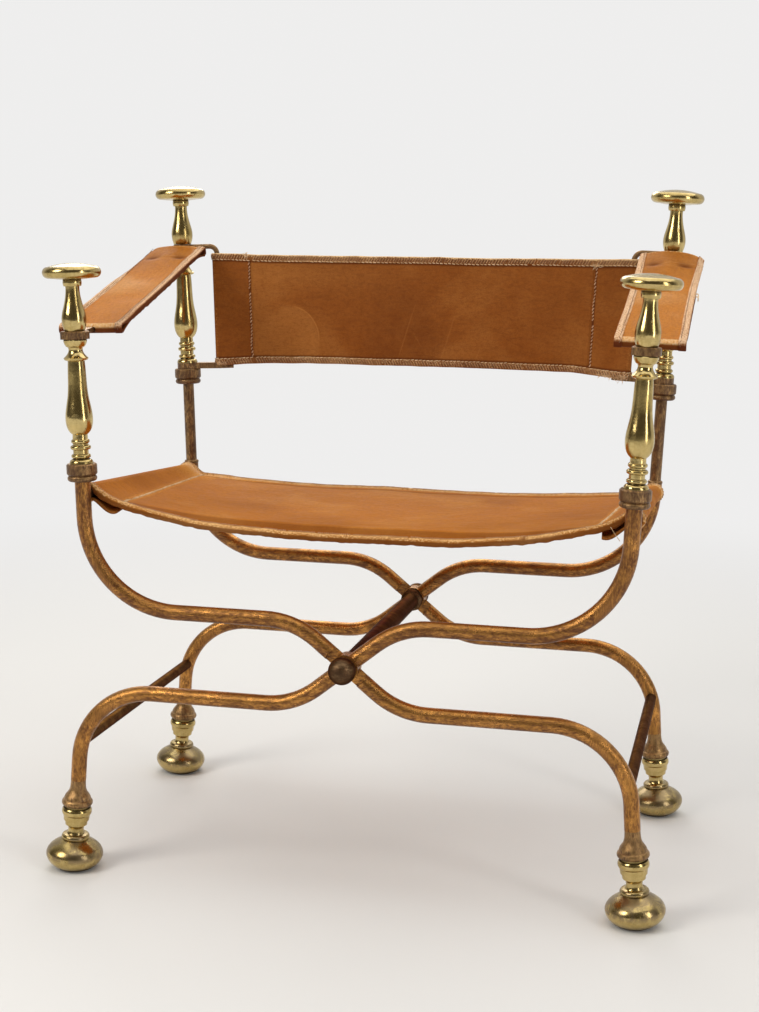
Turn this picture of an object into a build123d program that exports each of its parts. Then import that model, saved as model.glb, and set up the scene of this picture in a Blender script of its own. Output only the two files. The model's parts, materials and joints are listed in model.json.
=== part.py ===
from build123d import *
from math import cos, radians, sin, sqrt, tan
import os

# A folding X-frame armchair of the Savonarola kind: wrought iron bars, turned brass
# feet and posts, and a leather seat, back and arm straps slung between them.
# Millimetres and degrees. X runs across the chair, Y from front to rear, Z up, and
# the origin is on the floor under the middle. Left and right are as seen from the
# front. Frame A is the pair of bars whose feet are on the left and whose posts are
# on the right, and frame B is its mirror. They turn about the tie rod along Y.

# ---------------------------------------------------------------- crossed bars
FRAME_SPAN = 372.0        # front bars to rear bars, centre to centre
PIVOT_HEIGHT = 270.0      # tie rod above the floor
BAR_DIA = 18.0
BAR_SLOPE = 39.0          # slope of a bar where it crosses the tie rod
BAR_STRAIGHT = 89.0       # straight stretch through the crossing
BAR_EASE_R = 96.0         # bend from that stretch to the level runs
ARM_REACH = 313.0         # tie rod to the end of the upper bend, sideways
ARM_BEND_R = 110.0
POST_SPLAY = 2.2          # outward lean of the posts
LEG_REACH = 324.0         # tie rod to the end of the lower bend, sideways
LEG_BEND_R = 91.0
LEG_SPLAY = 4.0           # outward lean of the legs towards the floor
FRONT_BAR_RISE = 16.0     # from a seat rail up to the end of its bar
REAR_BAR_RISE = 11.0

# ---------------------------------------------------------------- crossing and tie rod
EYE_DIA = 31.0            # forged round eye on each bar at the crossing
LAP_DIA = 50.0            # the two bars are halved inside this circle
LAP_GAP = 0.3             # between the two halved faces
TIE_ROD_DIA = 10.0
TUBE_DIA = 21.0           # distance tube on the tie rod
TUBE_COLLAR_DIA = 28.0
TUBE_COLLAR_LEN = 9.0
WASHER_DIA = 25.0
WASHER_T = 1.5
BALL_DIA = 31.0           # ball nuts on both ends of the tie rod
BALL_SEAT = 10.5          # ball centre to its flat seat
BALL_THREAD = 16.0        # depth of the hole for the tie rod

# ---------------------------------------------------------------- fits
RUNNING_FIT = 0.06        # radial, where one part turns on another
CLOSE_FIT = 0.1           # radial, where parts are screwed or driven together
FACE_GAP = 0.15           # end play beside a part that turns
SOFT_GAP = 0.3            # between leather and what it is slung on

# ---------------------------------------------------------------- rails and stretchers
RAIL_DIA = 14.0           # seat rails, from the front bars to the rear bars
RAIL_FRONT_HEIGHT = 453.0
RAIL_REAR_HEIGHT = 429.0
STRETCHER_DIA = 13.5      # low side stretchers
STRETCHER_HEIGHT = 157.0
TENON_DIA = 8.0
TENON_LEN = 6.0

# ---------------------------------------------------------------- feet
LEG_END = 109.0           # lower end of a bar, along the leg axis
LEG_SPIGOT_DIA = 10.0
LEG_SPIGOT_LEN = 62.0
FERRULE_LEN = 31.0
FERRULE_RIM_R = 18.2
FERRULE_RIM_H = 7.0
FOOT_GROOVE_H = 3.0       # dark groove between ferrule and foot
FOOT_GROOVE_R = 14.0
FOOT_RING_R = 17.6
FOOT_RING_H = 9.0
FOOT_NECK_R = 9.2
FOOT_NECK_H = 48.5        # narrowest place of the neck above the floor
BEAD_R = 16.5             # bead between the neck and the bun
BEAD_H = 6.0
BUN_R = 33.5
BUN_H = 36.0              # floor to the bead
BUN_BELLY_H = 18.5        # widest place of the bun
BUN_PAD_R = 17.0          # flat that stands on the floor
FOOT_RELIEF = 3.0         # spare length below the floor, trimmed flat

# ---------------------------------------------------------------- posts
STUD_DIA = 8.0            # iron stud through the brass of each post
STUD_SOCKET = 10.0        # depth of a stud's socket in a front bar
CAP_THREAD = 10.0         # depth of a stud's hole in its cap
COLLAR_R = 17.5
COLLAR_H = 19.0
COLLAR_LIP_H = 5.0
BALUSTER_H = 142.0
BALUSTER_R = 15.6
BALUSTER_WAIST_R = 8.0
BALUSTER_BEAD_R = 11.8
BALUSTER_FLARE_R = 14.2
BALUSTER_CUP_R = 13.4
VASE_H = 58.0
VASE_R = 13.9
VASE_NECK_R = 8.0
VASE_RING_R = 10.6
VASE_RING_H = 7.5         # ring between the vase and the cap
CAP_R = 33.0
CAP_H = 18.5
CAP_EDGE_R = 6.6
REAR_ROD_DIA = 14.5       # plain rod between a rear bar and its collar
REAR_ROD_LEN = 110.0
REAR_ROD_SPIGOT = 6.0
REAR_BEAD_R = 9.6
REAR_BEAD_H = 4.5

# ---------------------------------------------------------------- arm hangers
HANGER_T = 9.0
HANGER_L = 31.0           # across the chair
HANGER_W = 26.0
HANGER_CORNER_R = 9.0
HANGER_NECK_W = 10.0
HANGER_NECK_T = 5.0
HANGER_ROD_DIA = 7.0
HANGER_ROD_LEN = 64.0
FRONT_HANGER_REACH = 50.0  # post axis to the cross rod
FRONT_HANGER_LIFT = 5.0   # cross rod above the middle of the plate
REAR_HANGER_REACH = 23.0

# ---------------------------------------------------------------- back brackets
LOWER_EYE_H = 8.0
UPPER_EYE_H = 7.0
BRACKET_EYE_R = 13.5
BRACKET_REACH = 48.0      # post axis to the upright rod
BRACKET_ROD_DIA = 6.6
BRACKET_BEND_R = 10.0
BRACKET_LEAF_R = 6.5
BRACKET_LEAF_TIP = 16.0   # leaf-shaped end of the lower arm past the upright

# ---------------------------------------------------------------- leather
LEATHER_T = 3.0
STRAP_W = 76.0
STRAP_FLAP = 40.0         # cross rod to the end of the turned-under flap
STRAP_SAG = 3.0
SEAT_FRONT_SEAM = 40.0    # rail to the sleeve's seam, at the front edge
SEAT_REAR_SEAM = 24.0
SEAT_FRONT_SEAM_DROP = 12.0   # seam below the rail, at the front edge
SEAT_REAR_SEAM_DROP = 5.0
SEAT_FRONT_SAG = 26.0     # middle of the front edge below its seams
SEAT_REAR_SAG = 9.0
SEAT_CLEAR = 5.0          # leather edge to the bars
BACK_SEAM = 46.0          # upright rod to the sleeve's seam
BACK_FOOT_GAP = 2.0       # lower eyes up to the back's lower edge
BACK_HEAD_GAP = 5.0       # back's upper edge up to the upper eyes
BACK_BOW = 6.0            # backward bow of the middle of the back

# ---------------------------------------------------------------- worked out
HALF_SPAN = FRAME_SPAN / 2
BAR_R = BAR_DIA / 2
FRONT, REAR = -HALF_SPAN, HALF_SPAN
LEFT, RIGHT = -1, 1

EASE_RUN = BAR_STRAIGHT / 2 * cos(radians(BAR_SLOPE)) + BAR_EASE_R * sin(radians(BAR_SLOPE))
EASE_RISE = (BAR_STRAIGHT / 2 * sin(radians(BAR_SLOPE))
             + BAR_EASE_R * (1 - cos(radians(BAR_SLOPE))))
ARM_BEND_CENTRE = (ARM_REACH - ARM_BEND_R * cos(radians(POST_SPLAY)),
                   PIVOT_HEIGHT + EASE_RISE + ARM_BEND_R)
ARM_BEND_END = ARM_BEND_CENTRE[1] - ARM_BEND_R * sin(radians(POST_SPLAY))
LEG_BEND_CENTRE = (LEG_REACH - LEG_BEND_R * cos(radians(LEG_SPLAY)),
                   PIVOT_HEIGHT - EASE_RISE - LEG_BEND_R)
LEG_BEND_END = LEG_BEND_CENTRE[1] + LEG_BEND_R * sin(radians(LEG_SPLAY))
POST_FOOT = ARM_REACH - ARM_BEND_END * tan(radians(POST_SPLAY))
LEG_FOOT = LEG_REACH + LEG_BEND_END * tan(radians(LEG_SPLAY))

# Upper ends of the bars and heights of the seats in a post, along its axis.
FRONT_BAR_TOP = RAIL_FRONT_HEIGHT + FRONT_BAR_RISE
REAR_BAR_TOP = RAIL_REAR_HEIGHT + REAR_BAR_RISE
FRONT_COLLAR = FRONT_BAR_TOP
FRONT_BALUSTER = FRONT_COLLAR + COLLAR_H
FRONT_HANGER = FRONT_BALUSTER + BALUSTER_H
FRONT_VASE = FRONT_HANGER + HANGER_T
REAR_COLLAR = REAR_BAR_TOP + REAR_ROD_LEN
LOWER_EYE = REAR_COLLAR + COLLAR_H
REAR_BALUSTER = LOWER_EYE + LOWER_EYE_H
REAR_HANGER = REAR_BALUSTER + BALUSTER_H
UPPER_EYE = REAR_HANGER + HANGER_T
REAR_VASE = UPPER_EYE + UPPER_EYE_H
BACK_BOTTOM = LOWER_EYE + LOWER_EYE_H + BACK_FOOT_GAP
BACK_TOP = UPPER_EYE - BACK_HEAD_GAP


def on_post(side):
    """Frame of one side's posts: origin on the floor, Z up along the leaning axis."""
    lean = radians(POST_SPLAY)
    return Plane(origin=(side * POST_FOOT, 0, 0),
                 x_dir=(cos(lean), 0, -side * sin(lean)),
                 z_dir=(side * sin(lean), 0, cos(lean)))


def on_leg(side):
    """Frame of one side's legs: origin on the floor, Z up along the leaning axis."""
    lean = radians(LEG_SPLAY)
    return Plane(origin=(side * LEG_FOOT, 0, 0),
                 x_dir=(cos(lean), 0, side * sin(lean)),
                 z_dir=(-side * sin(lean), 0, cos(lean)))


def post_offset(height):
    """Distance of a post axis from the middle of the chair at a height."""
    return POST_FOOT + height * tan(radians(POST_SPLAY))


def leg_offset(height):
    """Distance of a leg's centre line from the middle of the chair at a height."""
    if height <= LEG_BEND_END:
        return LEG_FOOT - height * tan(radians(LEG_SPLAY))
    rise = height - LEG_BEND_CENTRE[1]
    return LEG_BEND_CENTRE[0] + sqrt(LEG_BEND_R ** 2 - rise ** 2)


def turned(outline, bore_dia=0.0):
    """Turn a piece about Z. The outline runs from the axis round to the axis, in
    (radius, height). A step is a point for a straight cut, a pair of points for an
    arc by its middle and end, or a list of points for a smooth curve."""
    cuts, at = [], outline[0]
    for step in outline[1:]:
        if isinstance(step, list):
            cuts.append(Spline(at, *step))
            at = step[-1]
        elif isinstance(step[0], tuple):
            cuts.append(ThreePointArc(at, step[0], step[1]))
            at = step[1]
        else:
            cuts.append(Line(at, step))
            at = step
    cuts.append(Line(at, outline[0]))
    piece = revolve(Plane.XZ * make_face(cuts), Axis.Z, 360)
    if bore_dia:
        top = piece.bounding_box().max.Z
        bottom = piece.bounding_box().min.Z
        piece -= rod((0, 0, bottom - 1), (0, 0, top + 1), bore_dia)
    return piece


def rod(start, end, dia):
    """Plain round rod between two points."""
    start, end = Vector(*start), Vector(*end)
    length = (end - start).length
    face = Plane(origin=start, z_dir=end - start) * Circle(dia / 2)
    return extrude(face, amount=length, dir=end - start)


# ---------------------------------------------------------------- bars

def bar_run(top, dia):
    """A bar of frame A without its eye, in the plane of the crossing."""
    half = BAR_STRAIGHT / 2
    slope = radians(BAR_SLOPE)
    leg = on_leg(LEFT).from_local_coords((0, 0, LEG_END))
    leg_bend = (-LEG_REACH, LEG_BEND_END)
    post = on_post(RIGHT).from_local_coords((0, 0, top))
    level = (EASE_RUN, EASE_RISE)
    straight_end = (half * cos(slope), half * sin(slope))
    leg_part = Line((leg.X, leg.Z), leg_bend)
    lower_bend = JernArc(leg_bend, leg_part % 1, LEG_BEND_R, -(90 - LEG_SPLAY))
    lower_run = Line(lower_bend @ 1, (-level[0], PIVOT_HEIGHT - level[1]))
    lower_ease = JernArc(lower_run @ 1, lower_run % 1, BAR_EASE_R, BAR_SLOPE)
    crossing = Line(lower_ease @ 1, (straight_end[0], PIVOT_HEIGHT + straight_end[1]))
    upper_ease = JernArc(crossing @ 1, crossing % 1, BAR_EASE_R, -BAR_SLOPE)
    upper_run = Line(upper_ease @ 1, (ARM_BEND_CENTRE[0], PIVOT_HEIGHT + level[1]))
    upper_bend = JernArc(upper_run @ 1, upper_run % 1, ARM_BEND_R, 90 - POST_SPLAY)
    post_part = Line(upper_bend @ 1, (post.X, post.Z))
    line = Curve() + [leg_part, lower_bend, lower_run, lower_ease, crossing, upper_ease,
                      upper_run, upper_bend, post_part]
    path = Plane.XZ * line
    section = Plane(origin=path @ 0, z_dir=path % 0) * Circle(dia / 2)
    return sweep(section, path=path)


def rail_ends(side):
    """The points of the front and rear bars that a seat rail runs between."""
    return ((side * post_offset(RAIL_FRONT_HEIGHT), FRONT, RAIL_FRONT_HEIGHT),
            (side * post_offset(RAIL_REAR_HEIGHT), REAR, RAIL_REAR_HEIGHT))


def stretcher_ends(side):
    """The points of the front and rear legs that a side stretcher runs between."""
    reach = side * leg_offset(STRETCHER_HEIGHT)
    return (reach, FRONT, STRETCHER_HEIGHT), (reach, REAR, STRETCHER_HEIGHT)


def tenons(ends, dia, spare=0.0):
    """Rod through a rail or stretcher that leaves a tenon in the bar at each end."""
    start, end = Vector(*ends[0]), Vector(*ends[1])
    inset = (end - start).normalized() * (BAR_R - TENON_LEN - spare)
    return rod(start + inset, end - inset, dia)


def bar(frame, row):
    """One bent iron bar: frame A or B, front or rear row."""
    top = FRONT_BAR_TOP if row == FRONT else REAR_BAR_TOP
    socket = STUD_SOCKET if row == FRONT else REAR_ROD_SPIGOT
    body = Pos(0, row, 0) * bar_run(top, BAR_DIA)
    crossing = Pos(0, row, PIVOT_HEIGHT) * Rot(90, 0, 0)
    body += crossing * Cylinder(EYE_DIA / 2, BAR_DIA)
    keeps = -1 if frame == "a" else 1          # frame A keeps its front half
    lap = Pos(0, row - keeps * (BAR_R - LAP_GAP / 2), PIVOT_HEIGHT) * Rot(90, 0, 0)
    body -= lap * Cylinder(LAP_DIA / 2, BAR_DIA)
    fit = CLOSE_FIT if frame == "a" else RUNNING_FIT
    body -= crossing * Cylinder(TIE_ROD_DIA / 2 + fit, 2 * BAR_DIA)
    post, leg = on_post(RIGHT), on_leg(LEFT)
    body += leg * (Pos(0, row, 0) * rod((0, 0, LEG_END - LEG_SPIGOT_LEN), (0, 0, LEG_END + 1),
                                        LEG_SPIGOT_DIA))
    body -= post * (Pos(0, row, 0) * rod((0, 0, top - socket), (0, 0, top + 1),
                                         STUD_DIA + 2 * CLOSE_FIT))
    for ends in (rail_ends(RIGHT), stretcher_ends(LEFT)):
        body -= tenons(ends, TENON_DIA + 2 * CLOSE_FIT, CLOSE_FIT)
    return body if frame == "a" else mirror(body, about=Plane.YZ)


def coped_rod(ends, dia):
    """A rail or stretcher of frame A, coped to the bars it is tenoned into."""
    piece = rod(*ends, dia)
    for row, top in ((FRONT, FRONT_BAR_TOP), (REAR, REAR_BAR_TOP)):
        piece -= Pos(0, row, 0) * bar_run(top, BAR_DIA + 2 * CLOSE_FIT)
    return piece.solids().sort_by(SortBy.VOLUME)[-1] + tenons(ends, TENON_DIA)


def seat_rail(side):
    rail = coped_rod(rail_ends(RIGHT), RAIL_DIA)
    return rail if side == RIGHT else mirror(rail, about=Plane.YZ)


def side_stretcher(side):
    stretcher = coped_rod(stretcher_ends(LEFT), STRETCHER_DIA)
    return stretcher if side == LEFT else mirror(stretcher, about=Plane.YZ)


# ---------------------------------------------------------------- tie rod

def along_tie_rod(piece, y):
    """Stand a piece turned about Z on the tie rod, with its Z towards the rear."""
    return Pos(0, y, PIVOT_HEIGHT) * Rot(-90, 0, 0) * piece


def nut_seat(row):
    """Where a ball nut bears on its washer."""
    outside = HALF_SPAN + BAR_R + WASHER_T
    return -outside if row == FRONT else outside + FACE_GAP


def tie_rod():
    front, rear = nut_seat(FRONT) - BALL_THREAD + CLOSE_FIT, nut_seat(REAR) + BALL_THREAD - CLOSE_FIT
    return along_tie_rod(rod((0, 0, front), (0, 0, rear), TIE_ROD_DIA), 0)


def distance_tube():
    """Tube on the tie rod that holds the front and rear crossings apart."""
    start, end = -HALF_SPAN + BAR_R + FACE_GAP, HALF_SPAN - BAR_R
    neck = (TUBE_COLLAR_DIA - TUBE_DIA) / 2
    tube_r, collar_r = TUBE_DIA / 2, TUBE_COLLAR_DIA / 2
    front_collar, rear_collar = start + TUBE_COLLAR_LEN, end - TUBE_COLLAR_LEN
    outline = [(0, start), (tube_r, start),
               ((collar_r, (start + front_collar) / 2), (tube_r, front_collar)),
               (tube_r, rear_collar - neck), (collar_r, rear_collar),
               (collar_r, end), (0, end)]
    return along_tie_rod(turned(outline, TIE_ROD_DIA + 2 * CLOSE_FIT), 0)


def pivot_washers():
    """A washer outside each crossing, under the ball nuts. Frame B turns against the rear
    one, so that one stands off by the end play."""
    washer = turned([(0, 0), (WASHER_DIA / 2, 0), (WASHER_DIA / 2, WASHER_T), (0, WASHER_T)],
                    TIE_ROD_DIA + 2 * CLOSE_FIT)
    front = along_tie_rod(washer, FRONT - BAR_R - WASHER_T)
    rear = along_tie_rod(washer, REAR + BAR_R + FACE_GAP)
    return Compound(children=[front, rear])


def ball_nut(row):
    """Forged ball screwed on the end of the tie rod."""
    ball = Pos(0, 0, BALL_SEAT) * Sphere(BALL_DIA / 2)
    ball -= Pos(0, 0, -BALL_DIA / 2) * Box(2 * BALL_DIA, 2 * BALL_DIA, BALL_DIA)
    ball -= rod((0, 0, -1), (0, 0, BALL_THREAD), TIE_ROD_DIA + 2 * CLOSE_FIT)
    turn = Rot(180, 0, 0) if row == FRONT else Rot(0, 0, 0)
    return along_tie_rod(turn * ball, nut_seat(row))


# ---------------------------------------------------------------- feet

def ferrule():
    """Iron bell between the end of a bar and its brass foot."""
    bottom = LEG_END - FERRULE_LEN
    rim = bottom + FERRULE_RIM_H
    flare = LEG_END - rim
    outline = [(0, bottom), (FERRULE_RIM_R - 2, bottom),
               ((FERRULE_RIM_R, (bottom + rim) / 2), (FERRULE_RIM_R - 1.5, rim)),
               (FERRULE_RIM_R - 2.4, rim + 0.6),
               [(FERRULE_RIM_R - 3.6, rim + 0.2 * flare), (BAR_R + 1.6, rim + 0.45 * flare),
                (BAR_R, rim + 0.78 * flare), (BAR_R - 0.2, LEG_END)],
               (0, LEG_END)]
    return turned(outline, LEG_SPIGOT_DIA + 2 * CLOSE_FIT)


def foot():
    """Turned brass foot: a groove, a ring, two steps, a neck, a bead and a bun."""
    top = LEG_END - FERRULE_LEN
    ring_top = top - FOOT_GROOVE_H
    ring = ring_top - FOOT_RING_H
    step = (ring - FOOT_NECK_H - 5) / 2
    bead = BUN_H + BEAD_H
    rise = BUN_H - BUN_BELLY_H
    outline = [(0, -FOOT_RELIEF), (BUN_PAD_R, -FOOT_RELIEF), (BUN_PAD_R, 0),
               [(BUN_R - 7.5, 0.24 * BUN_BELLY_H), (BUN_R - 2, 0.58 * BUN_BELLY_H),
                (BUN_R, BUN_BELLY_H), (BUN_R - 2.3, BUN_BELLY_H + 0.35 * rise),
                (BUN_R - 8, BUN_BELLY_H + 0.66 * rise), (BEAD_R - 1, BUN_H)],
               ((BEAD_R, BUN_H + BEAD_H / 2), (BEAD_R - 2, bead)),
               (FOOT_NECK_R + 1.5, bead + 0.5),
               ((FOOT_NECK_R, FOOT_NECK_H), (FOOT_NECK_R + 2.2, ring - 2 * step)),
               (FOOT_RING_R - 4.6, ring - 2 * step + 0.5), (FOOT_RING_R - 4.0, ring - step - 0.5),
               (FOOT_RING_R - 2.6, ring - step), (FOOT_RING_R - 1.8, ring),
               ((FOOT_RING_R, (ring + ring_top) / 2), (FOOT_RING_R - 1.5, ring_top)),
               (FOOT_GROOVE_R, ring_top), (FOOT_GROOVE_R, top), (0, top)]
    piece = turned(outline)
    return piece - rod((0, 0, LEG_END - LEG_SPIGOT_LEN - CLOSE_FIT), (0, 0, top + 1),
                       LEG_SPIGOT_DIA + 2 * CLOSE_FIT)


def leg_piece(piece, side, row):
    """Set a piece on a leg axis and trim it level with the floor."""
    placed = on_leg(side) * (Pos(0, row, 0) * piece)
    trim = 4 * BUN_R
    return placed - Pos(side * LEG_FOOT, row, -trim / 2) * Box(trim, trim, trim)


# ---------------------------------------------------------------- posts

def collar():
    """Forged iron collar: a lip, a groove and a drum."""
    lip, edge = COLLAR_LIP_H, 1.5
    outline = [(0, 0), (BAR_R + 1.5, 0), ((COLLAR_R - 0.6, lip * 0.5), (COLLAR_R - 2.2, lip)),
               (COLLAR_R - 1.2, lip + 1), (COLLAR_R, lip + 1 + edge),
               (COLLAR_R, COLLAR_H - edge), (COLLAR_R - edge, COLLAR_H), (0, COLLAR_H)]
    return turned(outline, STUD_DIA + 2 * CLOSE_FIT)


def baluster():
    """Turned brass baluster: foot flange, three beads, a long bulb, a flare and a cup."""
    height, belly, neck = BALUSTER_H, BALUSTER_R, BALUSTER_WAIST_R
    outline = [(0, 0), (belly - 2, 0), ((belly - 2.6, 0.02 * height), (neck + 1, 0.038 * height))]
    for middle, reach in ((0.06, -0.6), (0.13, 0.0), (0.18, -1.2)):
        half = 0.017 * height
        middle *= height
        outline += [(neck + 0.8, middle - half),
                    ((BALUSTER_BEAD_R + reach, middle), (neck + 0.8, middle + half))]
    outline += [(neck + 0.6, 0.235 * height),
                [(belly - 3.2, 0.265 * height), (belly, 0.35 * height),
                 (belly - 3.4, 0.53 * height), (belly - 5.6, 0.78 * height),
                 (belly - 6.0, 0.825 * height)],
                (BALUSTER_FLARE_R - 1, 0.835 * height), (BALUSTER_FLARE_R, 0.85 * height),
                [(neck + 1.4, 0.885 * height), (neck, 0.915 * height),
                 (neck + 0.9, 0.935 * height)],
                (BALUSTER_CUP_R - 3, 0.94 * height),
                ((BALUSTER_CUP_R - 0.8, 0.965 * height), (BALUSTER_CUP_R, 0.99 * height)),
                (BALUSTER_CUP_R - 1, height), (0, height)]
    return turned(outline, STUD_DIA + 2 * CLOSE_FIT)


def vase():
    """Turned brass vase under a cap."""
    neck_top = VASE_H - VASE_RING_H
    outline = [(0, 0), (VASE_R - 2.6, 0),
               [(VASE_R - 0.8, 0.11 * neck_top), (VASE_R, 0.29 * neck_top),
                (VASE_R - 2.9, 0.56 * neck_top), (VASE_NECK_R + 0.5, 0.79 * neck_top),
                (VASE_NECK_R, neck_top)],
               (VASE_RING_R - 0.8, neck_top),
               ((VASE_RING_R, neck_top + 0.4 * VASE_RING_H), (VASE_RING_R - 0.5, VASE_H)),
               (0, VASE_H)]
    return turned(outline, STUD_DIA + 2 * CLOSE_FIT)


def cap():
    """Turned brass mushroom cap, screwed on the stud."""
    under = 1.6
    edge = under + CAP_EDGE_R
    rim_r, rim_h = CAP_R - CAP_EDGE_R, edge + CAP_EDGE_R
    dome = CAP_H - rim_h
    dome_r = (rim_r ** 2 + dome ** 2) / (2 * dome)
    half_way = CAP_H - dome_r + sqrt(dome_r ** 2 - rim_r ** 2 / 4)
    outline = [(0, 0), (VASE_RING_R + 1.5, 0), (rim_r, under), ((CAP_R, edge), (rim_r, rim_h)),
               ((rim_r / 2, half_way), (0, CAP_H))]
    return turned(outline) - rod((0, 0, -1), (0, 0, CAP_THREAD), STUD_DIA + 2 * CLOSE_FIT)


def post_stud(row):
    """Iron stud that the pieces of a post are threaded on."""
    low = (FRONT_BAR_TOP - STUD_SOCKET) if row == FRONT else REAR_COLLAR - STUD_SOCKET
    high = (FRONT_VASE if row == FRONT else REAR_VASE) + VASE_H + CAP_THREAD
    return rod((0, 0, low + CLOSE_FIT), (0, 0, high - CLOSE_FIT), STUD_DIA)


def rear_rod():
    """Plain rod of a rear post with a bead at its foot and a spigot into the bar."""
    low, high = REAR_BAR_TOP, REAR_COLLAR
    rod_r = REAR_ROD_DIA / 2
    tip = low - REAR_ROD_SPIGOT + CLOSE_FIT
    outline = [(0, tip), (STUD_DIA / 2, tip), (STUD_DIA / 2, low), (BAR_R - 0.5, low),
               ((REAR_BEAD_R, low + REAR_BEAD_H / 2), (rod_r, low + REAR_BEAD_H)),
               (rod_r, high), (0, high)]
    return turned(outline) - rod((0, 0, high - STUD_SOCKET), (0, 0, high + 1),
                                 STUD_DIA + 2 * CLOSE_FIT)


def hanger_neck(reach, lift, spare=0.0):
    """Bar from the plate of an arm hanger to its cross rod."""
    end = reach - HANGER_ROD_DIA / 4 if reach > 0 else reach + HANGER_ROD_DIA / 4
    half, middle = HANGER_NECK_T / 2 + spare, HANGER_T / 2
    side = Polyline((0, middle - half), (end, middle + lift - half),
                    (end, middle + lift + half), (0, middle + half), close=True)
    width = HANGER_NECK_W + 2 * spare
    upright = Plane(origin=(-width / 2, 0, 0), x_dir=(0, 1, 0), z_dir=(1, 0, 0))
    return extrude(upright * make_face(side), amount=width, dir=(1, 0, 0))


def arm_hanger(reach, lift):
    """Iron plate on a post with a cross rod that carries an arm strap."""
    plate = extrude(RectangleRounded(HANGER_L, HANGER_W, HANGER_CORNER_R), amount=HANGER_T)
    plate = chamfer(plate.edges().group_by(Axis.Z)[-1], 1.0)
    height = HANGER_T / 2 + lift
    cross = rod((-HANGER_ROD_LEN / 2, reach, height), (HANGER_ROD_LEN / 2, reach, height),
                HANGER_ROD_DIA)
    hanger = plate + hanger_neck(reach, lift) + cross
    return hanger - rod((0, 0, -1), (0, 0, HANGER_T + 1), STUD_DIA + 2 * CLOSE_FIT)


def back_bracket(side):
    """Iron bracket that swings on a rear post and holds one edge of the back."""
    reach = -side * BRACKET_REACH
    low, high = LOWER_EYE + FACE_GAP, UPPER_EYE + FACE_GAP
    lower_h, upper_h = LOWER_EYE_H - 2 * FACE_GAP, UPPER_EYE_H - 2 * FACE_GAP
    arm = high + upper_h / 2
    lower_eye = Pos(0, 0, low + lower_h / 2) * Cylinder(BRACKET_EYE_R, lower_h)
    upper_eye = Pos(0, 0, high + upper_h / 2) * Cylinder(BRACKET_EYE_R - 1.5, upper_h)
    tip = reach - side * BRACKET_LEAF_TIP
    leaf = make_hull([*Circle(BRACKET_LEAF_R + 2).edges(),
                      *(Pos(reach, 0) * Circle(BRACKET_LEAF_R)).edges(),
                      *(Pos(tip, 0) * Circle(1.5)).edges()])
    lower_arm = Pos(0, 0, low) * extrude(leaf, amount=lower_h)
    level = Line((0, arm), (reach + side * BRACKET_BEND_R, arm))
    bend = JernArc(level @ 1, level % 1, BRACKET_BEND_R, 90 * side)
    upright = Line(bend @ 1, (reach, low + lower_h / 2))
    path = Plane.XZ * (Curve() + [level, bend, upright])
    section = Plane(origin=path @ 0, z_dir=path % 0) * Circle(BRACKET_ROD_DIA / 2)
    bracket = lower_eye + upper_eye + lower_arm + sweep(section, path=path)
    return bracket - rod((0, 0, low - 1), (0, 0, high + upper_h + 1), STUD_DIA + 2 * RUNNING_FIT)


def post_piece(piece, side, row, height=0.0):
    """Set a piece on a post axis."""
    return on_post(side) * (Pos(0, row, height) * piece)


# ---------------------------------------------------------------- leather

def sleeve_face(rod_at, seam_at, inner_r):
    """Section of a leather sleeve's outside: round the rod and tapering to the seam."""
    rod_x, rod_y = rod_at
    seam_x, seam_y = seam_at
    return make_hull([*(Pos(rod_x, rod_y) * Circle(inner_r + LEATHER_T)).edges(),
                      *(Pos(seam_x, seam_y) * Circle(LEATHER_T)).edges()])


def sleeve_hollow(rod_at, seam_at, inner_r):
    """Section of the space inside a sleeve, closed well before the seam."""
    rod_x, rod_y = rod_at
    near_x, near_y = (rod_x + 0.6 * (seam_at[0] - rod_x), rod_y + 0.6 * (seam_at[1] - rod_y))
    return make_hull([*(Pos(rod_x, rod_y) * Circle(inner_r)).edges(),
                      *(Pos(near_x, near_y) * Circle(0.5)).edges()])


def sheet_face(seam_at, middle_y):
    """Section of the leather between two seams, bowed through the middle."""
    seam_x, seam_y = seam_at
    half = LEATHER_T / 2
    over = ThreePointArc((-seam_x, seam_y + half), (0, middle_y + half), (seam_x, seam_y + half))
    under = ThreePointArc((seam_x, seam_y - half), (0, middle_y - half), (-seam_x, seam_y - half))
    return make_face([over, Line(over @ 1, under @ 0), under, Line(under @ 1, over @ 0)])


def sling(sections, inner_r):
    """Leather slung between two rods, lofted between its two end sections. A section
    is its plane, the right rod's place in it, the right seam's place and the middle."""
    skins, hollows = [], []
    for side in (LEFT, RIGHT):
        skins.append(loft([plane * sleeve_face((side * rod_at[0], rod_at[1]),
                                               (side * seam_at[0], seam_at[1]), inner_r)
                           for plane, rod_at, seam_at, _ in sections]))
        hollows.append(loft([plane * sleeve_hollow((side * rod_at[0], rod_at[1]),
                                                   (side * seam_at[0], seam_at[1]), inner_r)
                             for plane, rod_at, seam_at, _ in sections]))
    sheet = loft([plane * sheet_face(seam_at, middle) for plane, _, seam_at, middle in sections])
    return (sheet + skins[0] + skins[1]) - hollows[0] - hollows[1]


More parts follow.
